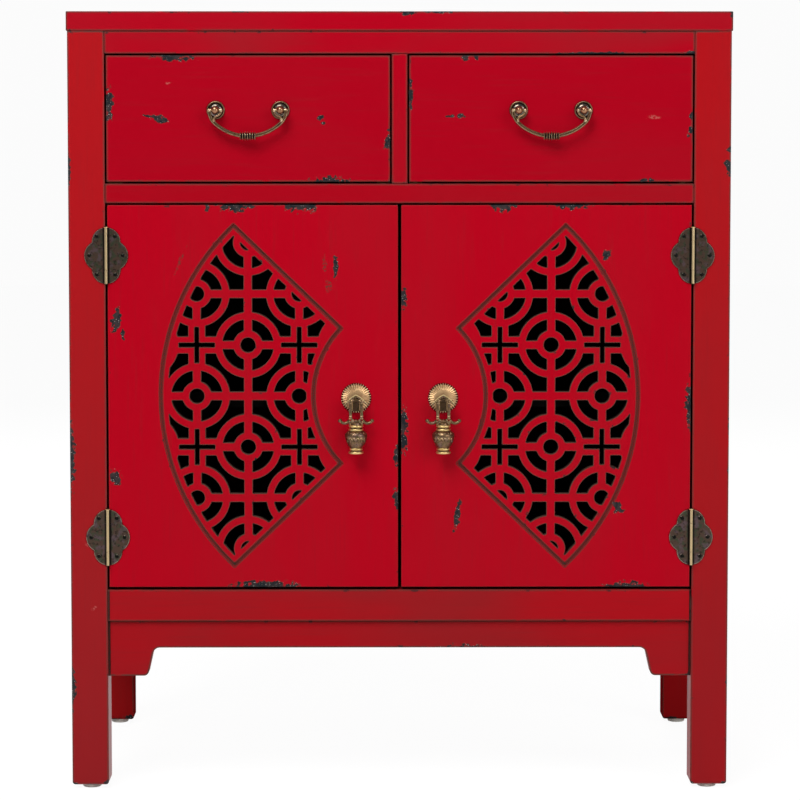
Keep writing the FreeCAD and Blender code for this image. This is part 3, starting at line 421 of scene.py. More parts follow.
    def distance(self, bench: Bench, chips: Sequence[Chip]) -> Mask | float:
        """How far each point lies from the nearest of some chips, 1 on a chip's oval, with a broken outline.

        Args:
            bench: the material under work.
            chips: the chips.

        Returns:
            The distance, a large number where there are no chips.
        """
        reach = 5.0
        far = 9.0
        for chip in chips:
            local = bench.add("Mapping", {"Vector": bench.place, "Location": (chip.x, chip.y, chip.z),
                                          "Rotation": (0, math.radians(chip.lean), 0),
                                          "Scale": (chip.wide / 2, reach, chip.high / 2)},
                              vector_type="TEXTURE")
            away = bench.add("VectorMath", {0: local}, output=1, operation="LENGTH")
            far = bench.add("Math", {0: away, 1: far}, operation="MINIMUM")
        # The outline is broken in bites of about 4 mm, with crumbs of 1.2 mm
        for size, strength in ((4.0, 0.9), (1.2, 0.25)):
            bites = bench.clouds(size, 0.2, 0.8, strength, detail=1)
            far = bench.add("Math", {0: far, 1: bites}, operation="ADD")
        return far


@dataclass(frozen=True)
class FrettedLacquer(RedLacquer):
    """The same lacquer on a pierced door: brown in the incised line, black inside the piercings."""

    side: Side = Side.LEFT
    edge_width: float = 1.2
    rubbed: str = "#6A3630"
    wall_brown: str = "#5E483E"
    piercing_black: str = "#070505"
    line_brown: str = "#49342D"
    line_reach: float = 3.0

    def make(self) -> Material:
        """Makes the material, with the coats inside the door's cuts.

        Returns:
            The finished material.
        """
        bench = Bench(self.name, self.roughness, specular=self.shine)
        middle = (self.side.value * (DOOR_MEETING_EDGE + DOOR_HINGE_EDGE) / 2, FRONT, DOOR_MIDDLE_Z)
        half = ((DOOR_HINGE_EDGE - DOOR_MEETING_EDGE) / 2, 1.0, DOOR_HALF_HEIGHT)
        local = bench.add("VectorMath", {0: bench.place, 1: middle}, operation="SUBTRACT")
        share = bench.add("VectorMath", {0: local, 1: half}, operation="DIVIDE")
        spread = bench.add("VectorMath", {0: share}, operation="ABSOLUTE")
        depth = bench.add("SeparateXYZ", {0: local}, output="Y")
        across = bench.add("SeparateXYZ", {0: spread}, output="X")
        upward = bench.add("SeparateXYZ", {0: spread}, output="Z")
        outward = bench.add("Math", {0: across, 1: upward}, operation="MAXIMUM")
        # Shares of the door's half size: its rim lies outside 0.99, and its fretwork inside 0.9
        inside = bench.add("MapRange", {0: outward, 1: 0.996, 2: 0.99})
        fretted = bench.add("MapRange", {0: outward, 1: 0.95, 2: 0.9})
        cuts = []
        # Depths in millimetres where each coat begins and is full
        for colour, begin, full in ((self.wall_brown, 0.35, 0.6), (self.piercing_black, 6.0, 8.0)):
            sunk = bench.add("MapRange", {0: depth, 1: begin, 2: full})
            cuts.append((colour, bench.add("Math", {0: sunk, 1: inside}, operation="MULTIPLY")))
        # The floor of the incised line is the only sunk surface that faces the front
        normal = bench.add("TexCoord", output="Normal")
        facing = bench.add("SeparateXYZ", {0: normal}, output="Y")
        front = bench.add("MapRange", {0: facing, 1: -0.5, 2: -0.8})
        floor = bench.add("Math", {0: cuts[0][1], 1: front}, operation="MULTIPLY")
        between_walls = bench.add("MapRange", {0: bench.hollows(self.line_reach), 1: 0.55, 2: 0.25})
        worn = bench.add("Math", {0: floor, 1: between_walls}, operation="MULTIPLY")
        cuts += [(self.red, floor), (self.line_brown, worn)]
        return self.paint(bench, cuts, fretted)


@dataclass(frozen=True)
class StainedBoard:
    """Softwood boards stained nearly black: matt, with the grain just showing."""

    name: str
    dark: str = "#120B09"
    grain_colour: str = "#241812"
    grain: Grain = Grain.ACROSS

    def make(self) -> Material:
        """Makes the material.

        Returns:
            The finished material.
        """
        bench = Bench(self.name, roughness=0.7, specular=0.3)
        # Growth rings are about 5 mm apart on flat-sawn softwood
        rings = bench.clouds(5, 0.42, 0.66, 0.8, self.grain.stretch(18))
        return bench.finish(bench.coats(self.dark, [(self.grain_colour, rings)]), height=rings, depth=0.08)


@dataclass(frozen=True)
class BareWood:
    """Planed, unfinished softwood: pale and matt with darker growth rings and a few pores."""

    name: str
    pale: str = "#C9A77A"
    ring: str = "#A77F52"
    pore: str = "#7E5C3A"
    grain: Grain = Grain.DEEP

    def make(self) -> Material:
        """Makes the material.

        Returns:
            The finished material.
        """
        bench = Bench(self.name, roughness=0.6, specular=0.35)
        # Growth rings are about 6 mm apart and pores 0.8 mm wide
        rings = bench.clouds(6, 0.40, 0.64, 0.85, self.grain.stretch(16))
        pores = bench.clouds(0.8, 0.62, 0.74, 0.6, self.grain.stretch(30), 1)
        soiled = bench.clouds(60, 0.5, 0.8, 0.35)
        colour = bench.coats(self.pale, [(self.ring, rings), (self.pore, pores), (self.pore, soiled)])
        return bench.finish(colour, height=pores, depth=-0.1)


@dataclass(frozen=True)
class AgedBronze:
    """Cast bronze under old patina: brown, green and plum patches, black hollows and rubbed bright edges."""

    name: str
    brown: str = "#544238"
    green: str = "#434636"
    plum: str = "#625055"
    black: str = "#1B1613"
    rubbed: str = "#9C8C7C"
    patch: float = 5.0
    edge_width: float = 0.5
    hollow_reach: float = 2.0
    roughness: float = 0.36

    def make(self) -> Material:
        """Makes the material."""
        return self.patina(Bench(self.name, self.roughness, metallic=0.9), [])

    def patina(self, bench: Bench, highlight_and_shade: Sequence[Coat]) -> Material:
        """Lays the patina, then the dirt in the hollows, the rubbed edges and any painted highlight and shade
        that are given.

        Args:
            bench: the material under work.
            highlight_and_shade: painted highlight and painted shade, laid over everything else.

        Returns:
            The finished material.
        """
        # Green and plum patches of like size, with dark ones half as large
        green = bench.clouds(self.patch, 0.46, 0.60)
        plum = bench.clouds(self.patch * 1.3, 0.50, 0.64, 0.8)
        dark = bench.clouds(self.patch * 0.45, 0.52, 0.70, 0.7, detail=4)
        edge = bench.worn_edges(self.edge_width, bench.clouds(self.patch * 0.6, 0.30, 0.55))
        hollow = bench.hollows(self.hollow_reach)
        colour = bench.coats(self.brown, [(self.green, green), (self.plum, plum), (self.black, dark),
                                          (self.black, hollow), (self.rubbed, edge), *highlight_and_shade])
        rough = bench.gloss(self.roughness, [(0.55, dark), (0.6, hollow), (0.25, edge)])
        return bench.finish(colour, rough, dark, -0.05)


@dataclass(frozen=True)
class HingeBronze(AgedBronze):
    """The same bronze on a hinge leaf: a painted highlight runs down the middle of its rolled barrel, between
    two flanks of painted shade.
    """

    # The painted highlight on the barrel: its colour and how far it reaches from the hinge line; then how far
    # the painted shade on its flanks reaches
    barrel: str = "#CDB58A"
    strip_reach: float = 1.0
    strip_blur: float = 0.3
    flank_reach: float = 2.9
    flank_blur: float = 0.8

    def make(self) -> Material:
        """Makes the material, with the barrel told apart by its distance sideways from the hinge line.

        Returns:
            The finished material.
        """
        bench = Bench(self.name, self.roughness, metallic=0.9)
        across = bench.add("SeparateXYZ", {0: bench.place}, output="X")
        sideways = bench.add("Math", {0: across}, operation="ABSOLUTE")
        away = bench.add("Math", {0: sideways, 1: HINGE_AXIS_X}, operation="SUBTRACT")
        off_line = bench.add("Math", {0: away}, operation="ABSOLUTE")
        flank_end = self.flank_reach + self.flank_blur
        strip_end = self.strip_reach + self.strip_blur
        # Painted shade on both flanks of the barrel, and a painted highlight down its middle, left out of the
        # seams between the knuckles
        flank = bench.add("MapRange", {0: off_line, 1: flank_end, 2: self.flank_reach, 4: 0.9})
        rolled = bench.add("MapRange", {0: off_line, 1: strip_end, 2: self.strip_reach})
        clean = bench.add("MapRange", {0: bench.hollows(1.2), 1: 0.9, 2: 0.3})
        painted_highlight = bench.add("Math", {0: rolled, 1: clean}, operation="MULTIPLY")
        return self.patina(bench, [(self.black, flank), (self.barrel, painted_highlight)])


@dataclass(frozen=True)
class BrightBrass:
    """Polished cast brass, a little tarnished: gold on the high places and brown in the hollows."""

    name: str
    gold: str = "#D9B56E"
    tarnish: str = "#8A6234"
    dirt: str = "#3A2614"
    rubbed: str = "#F2DDAA"
    roughness: float = 0.28

    def make(self) -> Material:
        """Makes the material.

        Returns:
            The finished material.
        """
        bench = Bench(self.name, roughness=self.roughness, metallic=1.0)
        stained = bench.clouds(5, 0.45, 0.7, 0.7)
        hollow = bench.hollows(1.5)
        layers = [(self.tarnish, stained), (self.dirt, hollow), (self.rubbed, bench.worn_edges(0.3))]
        rough = bench.gloss(self.roughness, [(self.roughness + 0.12, stained), (0.55, hollow)])
        return bench.finish(bench.coats(self.gold, layers), rough)


@dataclass(frozen=True)
class PlatedSteel:
    """Zinc-plated sheet steel with a fine rolled grain."""

    name: str
    bright: str = "#B9BABB"
    dull: str = "#8C8D8E"

    def make(self) -> Material:
        """Makes the material.

        Returns:
            The finished material.
        """
        bench = Bench(self.name, roughness=0.35, metallic=1.0)
        # Rolling marks 0.5 mm apart, drawn coarser than real ones so that they show
        marks = bench.clouds(0.5, 0.4, 0.7, 0.6, Grain.ACROSS.stretch(20), 1)
        rough = bench.gloss(0.32, [(0.45, marks)])
        return bench.finish(bench.coats(self.bright, [(self.dull, marks)]), rough)


@dataclass(frozen=True)
class MouldedPlastic:
    """Moulded polypropylene with a fine spark texture: satin, with paler rubbed edges."""

    name: str
    colour: str
    rubbed: str

    def make(self) -> Material:
        """Makes the material.

        Returns:
            The finished material.
        """
        bench = Bench(self.name, roughness=0.5)
        # Mould texture of 0.4 mm grit
        grit = bench.clouds(0.4, 0.3, 0.7, detail=1)
        colour = bench.coats(self.colour, [(self.rubbed, bench.worn_edges(0.4))])
        return bench.finish(colour, height=grit, depth=0.02)


def dress(material: Material, *nodes: str) -> None:
    """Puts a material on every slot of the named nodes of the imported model.

    Args:
        material: the finished material.
        nodes: names of nodes.
    """
    for name in nodes:
        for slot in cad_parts[name].material_slots:
            slot.material = material
        log.info("dressed %s in %s", name, material.name)


def make_piece(name: str, mesh: Mesh, place: Vector, material: Material, body: str) -> bpy.types.Object:
    """Turns a finished bmesh into a smooth-shaded piece that rides on a body.

    Args:
        name: the piece's name.
        mesh: the bmesh, in millimetres about its own origin; it is freed.
        place: where that origin lies in the model, in millimetres.
        material: the piece's material.
        body: the body that carries the piece.

    Returns:
        The new object.
    """
    bmesh.ops.recalc_face_normals(mesh, faces=mesh.faces[:])
    bmesh.ops.transform(mesh, matrix=Matrix.Scale(MM, 4) @ Matrix.Translation(place), verts=mesh.verts[:])
    for face in mesh.faces:
        face.smooth = True
    data = bpy.data.meshes.new(name)
    mesh.to_mesh(data)
    mesh.free()
    data.set_sharp_from_angle(angle=math.radians(CREASE_DEGREES))
    data.materials.append(material)
    piece = bpy.data.objects.new(name, data)
    bpy.context.collection.objects.link(piece)
    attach(piece, body)
    log.info("built %s: %d faces on %s", name, len(data.polygons), body)
    return piece


def edges_of(verts: Sequence[bmesh.types.BMVert]) -> list[bmesh.types.BMEdge]:
    """The edges that meet at any of some vertices."""
    return list({edge for vert in verts for edge in vert.link_edges})


def ring_at(mesh: Mesh, radius: float, middle: Vector, turned: Matrix, sides: int = 16) -> list:
    """Draws a round section, ready to be drawn along a path.

    Args:
        mesh: the bmesh to draw in.
        radius: the section's radius.
        middle: its middle.
        turned: the turn from a section that faces up.
        sides: how many sides it has.

    Returns:
        The section's vertices and edges.
    """
    drawn = bmesh.ops.create_circle(mesh, segments=sides, radius=radius,
                                    matrix=Matrix.Translation(middle) @ turned)
    return [*drawn["verts"], *edges_of(drawn["verts"])]


def draw_along(mesh: Mesh, ring: list, centre: Vector, angle: float, steps: int,
               swell: float = 1.0) -> list:
    """Draws a section along an arc in the front view, swelling or slimming it evenly on its way.

    Args:
        mesh: the bmesh to draw in.
        ring: the section's vertices and edges.
        centre: the arc's centre.
        angle: how far it turns about the Y direction, in radians.
        steps: how many straight runs stand for the arc.
        swell: the section's size at the end, from its size at the start.

    Returns:
        The last section's vertices and edges.
    """
    step_swell = swell ** (1 / steps)
    for _ in range(steps):
        drawn = bmesh.ops.spin(mesh, geom=ring, cent=centre, axis=(0, 1, 0), angle=angle / steps, steps=1)
        ring = drawn["geom_last"]
        verts = [part for part in ring if isinstance(part, bmesh.types.BMVert)]
        middle = sum((vert.co for vert in verts), Vector()) / len(verts)
        bmesh.ops.scale(mesh, vec=[step_swell] * 3, space=Matrix.Translation(-middle), verts=verts)
    return ring


def close_end(mesh: Mesh, ring: list) -> None:
    """Fills the open end of a drawn section, given the section's vertices and edges."""
    bmesh.ops.holes_fill(mesh, edges=[part for part in ring if isinstance(part, bmesh.types.BMEdge)])


def add_bead(mesh: Mesh, middle: Sequence[float], half: Sequence[float],
             turned: Matrix = Matrix.Identity(4), sides: int = 16) -> None:
    """Adds a squashed bead.

    Args:
        mesh: the bmesh to add to.
        middle: the bead's middle.
        half: its half size along x, y and z, before it is turned.
        turned: the bead's turn about its middle.
        sides: how many sides it has round its poles.
    """
    matrix = Matrix.Translation(middle) @ turned @ Matrix.Diagonal((*half, 1.0))
    bmesh.ops.create_uvsphere(mesh, u_segments=sides, v_segments=sides // 2 + 1, radius=1.0, matrix=matrix)


def add_rod(mesh: Mesh, middle: Vector, radius: float, length: float, sides: int) -> None:
    """Adds a plain round rod that lies across, along x.

    Args:
        mesh: the bmesh to add to.
        middle: the rod's middle.
        radius: its radius.
        length: its length.
        sides: how many sides it has.
    """
    bmesh.ops.create_cone(mesh, cap_ends=True, segments=sides, radius1=radius, radius2=radius, depth=length,
                          matrix=Matrix.Translation(middle) @ ALONG_X)


def add_bar(mesh: Mesh, middle: Vector, size: Sequence[float], edge_round: float) -> None:
    """Adds a square bar with rounded edges.

    Args:
        mesh: the bmesh to add to.
        middle: the bar's middle.
        size: its size along x, y and z.
        edge_round: how far the rounding reaches from its edges.
    """
    matrix = Matrix.Translation(middle) @ Matrix.Diagonal((*size, 1.0))
    bar = bmesh.ops.create_cube(mesh, size=1.0, matrix=matrix)
    bmesh.ops.bevel(mesh, geom=edges_of(bar["verts"]), offset=edge_round, affect="EDGES", segments=2,
                    profile=0.5, material=-1)


def spin_full(mesh: Mesh, section: list, centre: Sequence[float], axis: Sequence[float],
              steps: int = 48) -> None:
    """Spins a section full round an axis.

    Args:
        mesh: the bmesh to draw in.
        section: the section's vertices and edges.
        centre: a point on the axis.
        axis: the axis' direction.
        steps: how many straight runs stand for the circle.
    """
    bmesh.ops.spin(mesh, geom=section, cent=centre, axis=axis, angle=2 * math.pi, steps=steps, use_merge=True)


def turn_round(mesh: Mesh, points: Sequence[Vector], centre: Vector, axis: Sequence[float],
               closed: bool = False) -> None:
    """Turns a line of points full round an axis.

    Args:
        mesh: the bmesh to draw in.
        points: the line's points.
        centre: a point on the axis.
        axis: the axis' direction.
        closed: whether the line runs back to its first point.
    """
    line = [mesh.verts.new(point) for point in points]
    ends = [*line[1:], line[0]] if closed else line[1:]
    edges = [mesh.edges.new(pair) for pair in zip(line, ends)]
    spin_full(mesh, [*line, *edges], centre, axis)
    bmesh.ops.remove_doubles(mesh, verts=mesh.verts[:], dist=WELD)


def mirror_left(mesh: Mesh) -> None:
    """Mirrors everything drawn on the right to the left, and joins the halves in the middle."""
    bmesh.ops.mirror(mesh, geom=[*mesh.verts, *mesh.edges, *mesh.faces], merge_dist=WELD, axis="X")
    bmesh.ops.remove_doubles(mesh, verts=mesh.verts[:], dist=WELD)


@dataclass
class Bail:
    """A drawer's swinging bail: a grooved bow, a ribbed grip and a scrolled tail at each post."""

    side: Side
    arm_offset: float = 5.8
    drop: float = 24.5
    shoulder_radius: float = 17.0
    wire_radius: float = 2.0
    wire_sides: int = 24
    end_radius: float = 1.6
    # Share of the wire's slimming that happens along the crown
    crown_slimming: float = 0.6
    arm_ball_share: float = 1.12
    groove_from: float = 0.95
    groove_share: float = 0.45
    pin_radius: float = 1.4
    pin_ball_share: float = 1.15
    tail_radius: float = 1.1
    tail_about_post: float = 5.9
    tail_sweep: float = 76.0
    tail_return_radius: float = 3.4
    tail_ball_radius: float = 1.7
    grip_length: float = 16.0
    grip_radius: float = 4.5
    grip_end_radius: float = 3.7
    grip_core_radius: float = 2.6
    grip_core_length: float = 15.2
    rib_count: int = 7
    rib_share: float = 0.42

    def build(self, bright: Material, dark: Material) -> None:
        """Builds the bail about the middle of its axis and hangs it on its body.

        Args:
            bright: material of the bow, its tails and the grip's ribs.
            dark: material of the grip's core, which shows between the ribs.
        """
        mesh = bmesh.new()
        self.add_bow(mesh)
        self.add_tail(mesh)
        mirror_left(mesh)
        self.add_ribs(mesh)
        core = bmesh.new()
        lowest = Vector((0, 0, -self.drop))
        add_rod(core, lowest, self.grip_core_radius, self.grip_core_length, self.wire_sides)
        place = Vector((self.side.value * DRAWER_MIDDLE_X, BAIL_AXIS_Y, BAIL_AXIS_Z))
        word = f"{self.side.word}_bail"
        piece = make_piece(f"{word}_wire", mesh, place, bright, word)
        make_piece(f"{word}_grip_core", core, place, dark, word)
        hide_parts(f"{self.side.word}_drawer_bail")

    def add_bow(self, mesh: Mesh) -> None:
        """Draws the right half of the bow: a wire with a groove down its face, along two arcs.

        Args:
            mesh: the bmesh to draw in.
        """
        flat = POST_SPACING / 2 + self.arm_offset - self.shoulder_radius
        below = self.drop - self.shoulder_radius
        crown = (flat ** 2 + self.drop ** 2 - self.shoulder_radius ** 2) / (2 * below)
        turn = math.atan2(crown - self.drop, flat)
        lowest = Vector((0, 0, -self.drop))
        ring = ring_at(mesh, self.wire_radius, lowest, ALONG_X, self.wire_sides)
        for vert in ring[:self.wire_sides]:
            outward = abs(vert.co.y) / self.wire_radius
            if outward > self.groove_from:
                vert.co = lowest + (vert.co - lowest) * self.groove_share
        slim = self.end_radius / self.wire_radius
        crown_slim = slim ** self.crown_slimming
        above = Vector((0, 0, crown - self.drop))
        ring = draw_along(mesh, ring, above, turn - math.pi / 2, steps=16, swell=crown_slim)
        ring = draw_along(mesh, ring, Vector((flat, 0, 0)), -turn, steps=12, swell=slim / crown_slim)
        close_end(mesh, ring)
        arm = Vector((flat + self.shoulder_radius, 0, 0))
        add_bead(mesh, arm, [self.end_radius * self.arm_ball_share] * 3)

    def add_tail(self, mesh: Mesh) -> None:
        """Draws the right post's pin and the scroll on its inner side, with a ball at its end.

        Args:
            mesh: the bmesh to draw in.
        """
        post = Vector((POST_SPACING / 2, 0, 0))
        start = post - Vector((self.tail_about_post, 0, 0))
        pin_length = self.arm_offset + self.tail_about_post
        add_rod(mesh, start + Vector((pin_length / 2, 0, 0)), self.pin_radius, pin_length, sides=16)
        add_bead(mesh, start, [self.pin_radius * self.pin_ball_share] * 3)
        sweep = math.radians(self.tail_sweep)
        outward = Vector((-math.cos(sweep), 0, -math.sin(sweep)))
        curl = post + outward * (self.tail_about_post + self.tail_return_radius)
        ring = ring_at(mesh, self.tail_radius, start, Matrix.Identity(4), sides=12)
        ring = draw_along(mesh, ring, post, -sweep, steps=10)
        draw_along(mesh, ring, curl, sweep, steps=8)
        ball = curl + Vector((self.tail_return_radius, 0, -self.tail_ball_radius / 2))
        add_bead(mesh, ball, [self.tail_ball_radius] * 3)

    def add_ribs(self, mesh: Mesh) -> None:
        """Threads the ribs of the grip on the middle of the bow, the widest in the middle.

        Args:
            mesh: the bmesh to add to.
        """
        lowest = Vector((0, 0, -self.drop))
        rib = self.grip_length / self.rib_count
        for place in range(self.rib_count):
            off_middle = (place - (self.rib_count - 1) / 2) * rib
            share = abs(2 * off_middle / self.grip_length)
            peak = self.grip_radius + (self.grip_end_radius - self.grip_radius) * share
            middle = lowest + Vector((off_middle, 0, 0))
            add_bead(mesh, middle, (peak, peak, rib * self.rib_share), ALONG_X, self.wire_sides)


@dataclass
class Starburst:
    """A pull's domed starburst: sharp rays that fall from a smooth crown to the door."""

    side: Side
    middle_z: float = 378.45
    ray_count: int = 36
    # From the middle of the back round to the crown: distance from the axis and height over the door
    ridge: tuple[tuple[float, float], ...] = (
        (0.0, 0.0), (14.3, 0.0), (14.3, 2.3), (12.6, 2.65), (10.2, 3.15), (7.4, 3.7), (4.6, 4.2), (0.0, 4.4))
    valley: tuple[tuple[float, float], ...] = (
        (0.0, 0.0), (12.0, 0.0), (12.0, 2.1), (11.0, 2.45), (9.2, 2.95), (7.0, 3.6), (4.6, 4.2), (0.0, 4.4))

    def build(self, brass: Material) -> None:
        """Draws half a ray between its ridge and its valley, mirrors it and repeats it round the axis.

        Args:
            brass: the starburst's material.
        """
        mesh = bmesh.new()
        half_ray = math.pi / self.ray_count
        lines = []
        for profile, angle in ((self.ridge, 0.0), (self.valley, half_ray)):
            turned = Matrix.Rotation(angle, 3, "Y")
            points = [mesh.verts.new(turned @ Vector((reach, -height, 0))) for reach, height in profile]
            lines += [mesh.edges.new(pair) for pair in zip(points, points[1:])]
        bmesh.ops.bridge_loops(mesh, edges=lines)
        bmesh.ops.mirror(mesh, geom=[*mesh.verts, *mesh.edges, *mesh.faces], merge_dist=WELD, axis="Z")
        others = self.ray_count - 1
        bmesh.ops.spin(mesh, geom=[*mesh.verts, *mesh.edges, *mesh.faces], cent=(0, 0, 0), axis=(0, 1, 0),
                       angle=others * 2 * half_ray, steps=others, use_duplicate=True)
        bmesh.ops.remove_doubles(mesh, verts=mesh.verts[:], dist=WELD)
        place = Vector((self.side.value * PULL_FROM_MIDDLE, FRONT, self.middle_z))
        piece = make_piece(f"{self.side.word}_pull_starburst", mesh, place, brass, f"{self.side.word}_door")
        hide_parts(f"{self.side.word}_pull_rosette")


@dataclass
class VaseDrop:
    """A door's hanging pull: a gabled frame with upturned wings, and a vase with bright rings."""

    side: Side
    roof_top: float = 5.8
    roof_turn: float = 30.0
    roof_start: float = 24.0
    roof_chord: float = 13.0
    roof_thickness: float = 2.3
    roof_slimming: float = 0.85
    frame_thickness: float = 2.4
    lip_width: float = 0.9
    lip_below_top: float = 0.3
    pin_radius: float = 1.0
    column_middle: float = 5.25
    column_half_width: float = 1.4
    column_top: float = 1.4
    # Cast beads on a column: share of its height and size from its own section
    column_beads: tuple[tuple[float, float], ...] = ((0.04, 1.3), (0.16, 1.12), (0.80, 1.1), (0.92, 1.35))
    bead_half_height: float = 0.8
    bracket: tuple[float, float] = (7.6, -0.6)
    bracket_radius: float = 1.6
    edge_round: float = 0.5
    sill: float = -18.0
    sill_gap: float = 1.0
    sill_extra_depth: float = 0.6
    # Scrolls on the sill: place across and radius
    scrolls: tuple[tuple[float, float], ...] = ((-3.2, 1.5), (0.0, 1.1), (3.2, 1.5))
    scroll_lift: float = 0.3
    scroll_extra_depth: float = 0.2
    base: float = -23.2
    wing_centre: tuple[float, float] = (10.9, -16.4)
    wing_angles: tuple[float, float] = (-154.0, -33.0)
    wing_radius: float = 5.1
    wing_thickness: float = 1.7
    wing_slimming: float = 0.75
    wing_ball_radius: float = 1.9
    # Vase profile from its neck to its foot: radius and level of each point
    vase: tuple[tuple[float, float], ...] = (
        (0.0, -20.4), (3.2, -20.4), (4.9, -21.4), (5.5, -23.2), (5.5, -28.4), (7.2, -28.7), (9.0, -29.8),
        (10.3, -31.4), (10.7, -33.2), (10.3, -36.0), (9.2, -39.2), (7.7, -42.2), (6.2, -44.4), (5.3, -45.4),
        (5.3, -50.0), (0.0, -50.0))
    # Rings: middle radius and level
    rings: tuple[tuple[float, float], ...] = ((5.8, -24.2), (5.9, -27.6), (5.2, -46.0), (5.9, -49.4))
    ring_radius: float = 1.25
    petal_count: int = 18
    petal_half: tuple[float, float, float] = (1.3, 1.2, 3.4)
    petal_from_axis: float = 9.6
    petal_level: float = -36.0
    petal_lean: float = 14.0
    bead_from_axis: float = 9.2
    bead_level: float = -30.6
    bead_radius: float = 0.75
    relief_half_angle: float = 55.0

    @property
    def place(self) -> Vector:
        """Where the middle of the drop's pin lies."""
        return Vector((self.side.value * PULL_FROM_MIDDLE, PULL_AXIS_Y, PULL_AXIS_Z))

    def build(self, bronze: Material, brass: Material) -> None:
        """Builds the casting and its bright trim and hangs both on the drop's body.

        Args:
            bronze: material of the casting.
            brass: material of the rings and the roof's edge.
        """
        body = f"{self.side.word}_drop"
        mesh = bmesh.new()
        half_roof = Vector((0, 0, -self.roof_thickness / 2))
        self.add_roof(mesh, self.roof_thickness, self.frame_thickness, half_roof)
        self.add_column(mesh)
        self.add_wing(mesh)
        mirror_left(mesh)
        self.add_sill(mesh)
        self.add_vase(mesh)
        self.add_petals(mesh)
        piece = make_piece(f"{self.side.word}_pull_vase", mesh, self.place, bronze, body)
        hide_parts(f"{self.side.word}_pull_drop")
        trim = bmesh.new()
        lip = Vector((0, -self.frame_thickness / 2, -self.lip_below_top))
        self.add_roof(trim, self.lip_width, self.lip_width, lip)
        mirror_left(trim)
        self.add_rings(trim)
        make_piece(f"{self.side.word}_pull_trim", trim, self.place, brass, body)

    def add_roof(self, mesh: Mesh, high: float, deep: float, off_top: Vector) -> None:
        """Draws the right slope of the roof, or a line along it, as a bar on an arc.

        Args:
            mesh: the bmesh to draw in.
            high: the bar's height.
            deep: the bar's depth.
            off_top: where the bar's middle starts, from the top of the roof.
        """
        turn = math.radians(self.roof_turn)
        slope = math.radians(self.roof_start)
        radius = self.roof_chord / (2 * math.sin(turn / 2))
        start = Vector((0, 0, self.roof_top)) + off_top
        centre = start - Vector((math.sin(slope), 0, math.cos(slope))) * radius
        # The bar's section starts as a ring of four with sides of 1
        square = ring_at(mesh, math.sqrt(0.5), Vector(), Matrix.Rotation(math.pi / 4, 4, "Z"), sides=4)
        corners = square[:4]
        bmesh.ops.scale(mesh, vec=(high, deep, 1.0), verts=corners)
        bmesh.ops.rotate(mesh, matrix=ALONG_X.to_3x3(), verts=corners)
        bmesh.ops.translate(mesh, vec=start, verts=corners)
        close_end(mesh, draw_along(mesh, square, centre, turn, steps=10, swell=self.roof_slimming))

    def add_column(self, mesh: Mesh) -> None:
        """Adds the right column, a rounded bar with a few cast beads, and the bracket under the roof.

        Args:
            mesh: the bmesh to add to.
        """
        length = self.column_top - self.sill
        middle = Vector((self.column_middle, 0, (self.column_top + self.sill) / 2))
        size = (2 * self.column_half_width, self.frame_thickness, length)
        add_bar(mesh, middle, size, self.edge_round)
        for share, wide in self.column_beads:
            half = (self.column_half_width * wide, self.frame_thickness / 2 * wide, self.bead_half_height)
            add_bead(mesh, (self.column_middle, 0, self.sill + share * length), half, sides=12)
        add_bead(mesh, (self.bracket[0], 0, self.bracket[1]), [self.bracket_radius] * 3, sides=12)

    def add_wing(self, mesh: Mesh) -> None:
        """Draws the right wing, a tapering bar that dips and turns up to a ball.

        Args:
            mesh: the bmesh to draw in.
        """
        start_angle, end_angle = (math.radians(angle) for angle in self.wing_angles)
        centre = Vector((self.wing_centre[0], 0, self.wing_centre[1]))
        outward = Vector((math.cos(start_angle), 0, math.sin(start_angle)))
        turned = Matrix.Rotation(math.atan2(-outward.z, outward.x), 4, "Y")
        ring = ring_at(mesh, self.wing_thickness, centre + outward * self.wing_radius, turned, sides=12)
        draw_along(mesh, ring, centre, start_angle - end_angle, steps=14, swell=self.wing_slimming)
        tip = centre + Vector((math.cos(end_angle), 0, math.sin(end_angle))) * self.wing_radius
        add_bead(mesh, tip, [self.wing_ball_radius] * 3)

    def add_sill(self, mesh: Mesh) -> None:
        """Adds the base under the columns with its small scrolls, and the pin that the drop hangs by.

        Args:
            mesh: the bmesh to add to.
        """
        half = self.column_middle + self.column_half_width
        top = self.sill - self.sill_gap
        size = (2 * half, self.frame_thickness + self.sill_extra_depth, top - self.base)
        add_bar(mesh, Vector((0, 0, (top + self.base) / 2)), size, self.edge_round)
        half_depth = self.frame_thickness / 2 + self.scroll_extra_depth
        for across, radius in self.scrolls:
            add_bead(mesh, (across, 0, top + self.scroll_lift), (radius, half_depth, radius), sides=12)
        add_rod(mesh, Vector(), self.pin_radius, 2 * self.column_middle, sides=12)

    def add_vase(self, mesh: Mesh) -> None:
        """Turns the vase from its profile.

        Args:
            mesh: the bmesh to add to.
        """
        turn_round(mesh, [Vector((radius, 0, level)) for radius, level in self.vase], Vector(), (0, 0, 1))

    def add_petals(self, mesh: Mesh) -> None:
        """Raises a few plain petals on the front of the vase, under a row of beads.

        Args:
            mesh: the bmesh to add to.
        """
        spacing = 360 / self.petal_count
        lean = Matrix.Rotation(math.radians(-self.petal_lean), 4, "X")
        for place in range(self.petal_count):
            turn = (place + 0.5) * spacing - 180
            if abs(turn) > self.relief_half_angle:
                continue
            round_vase = Matrix.Rotation(math.radians(turn), 4, "Z")
            middle = round_vase @ Vector((0, -self.petal_from_axis, self.petal_level))
            add_bead(mesh, middle, self.petal_half, round_vase @ lean, 12)
            bead = round_vase @ Vector((0, -self.bead_from_axis, self.bead_level))
            add_bead(mesh, bead, [self.bead_radius] * 3, sides=8)

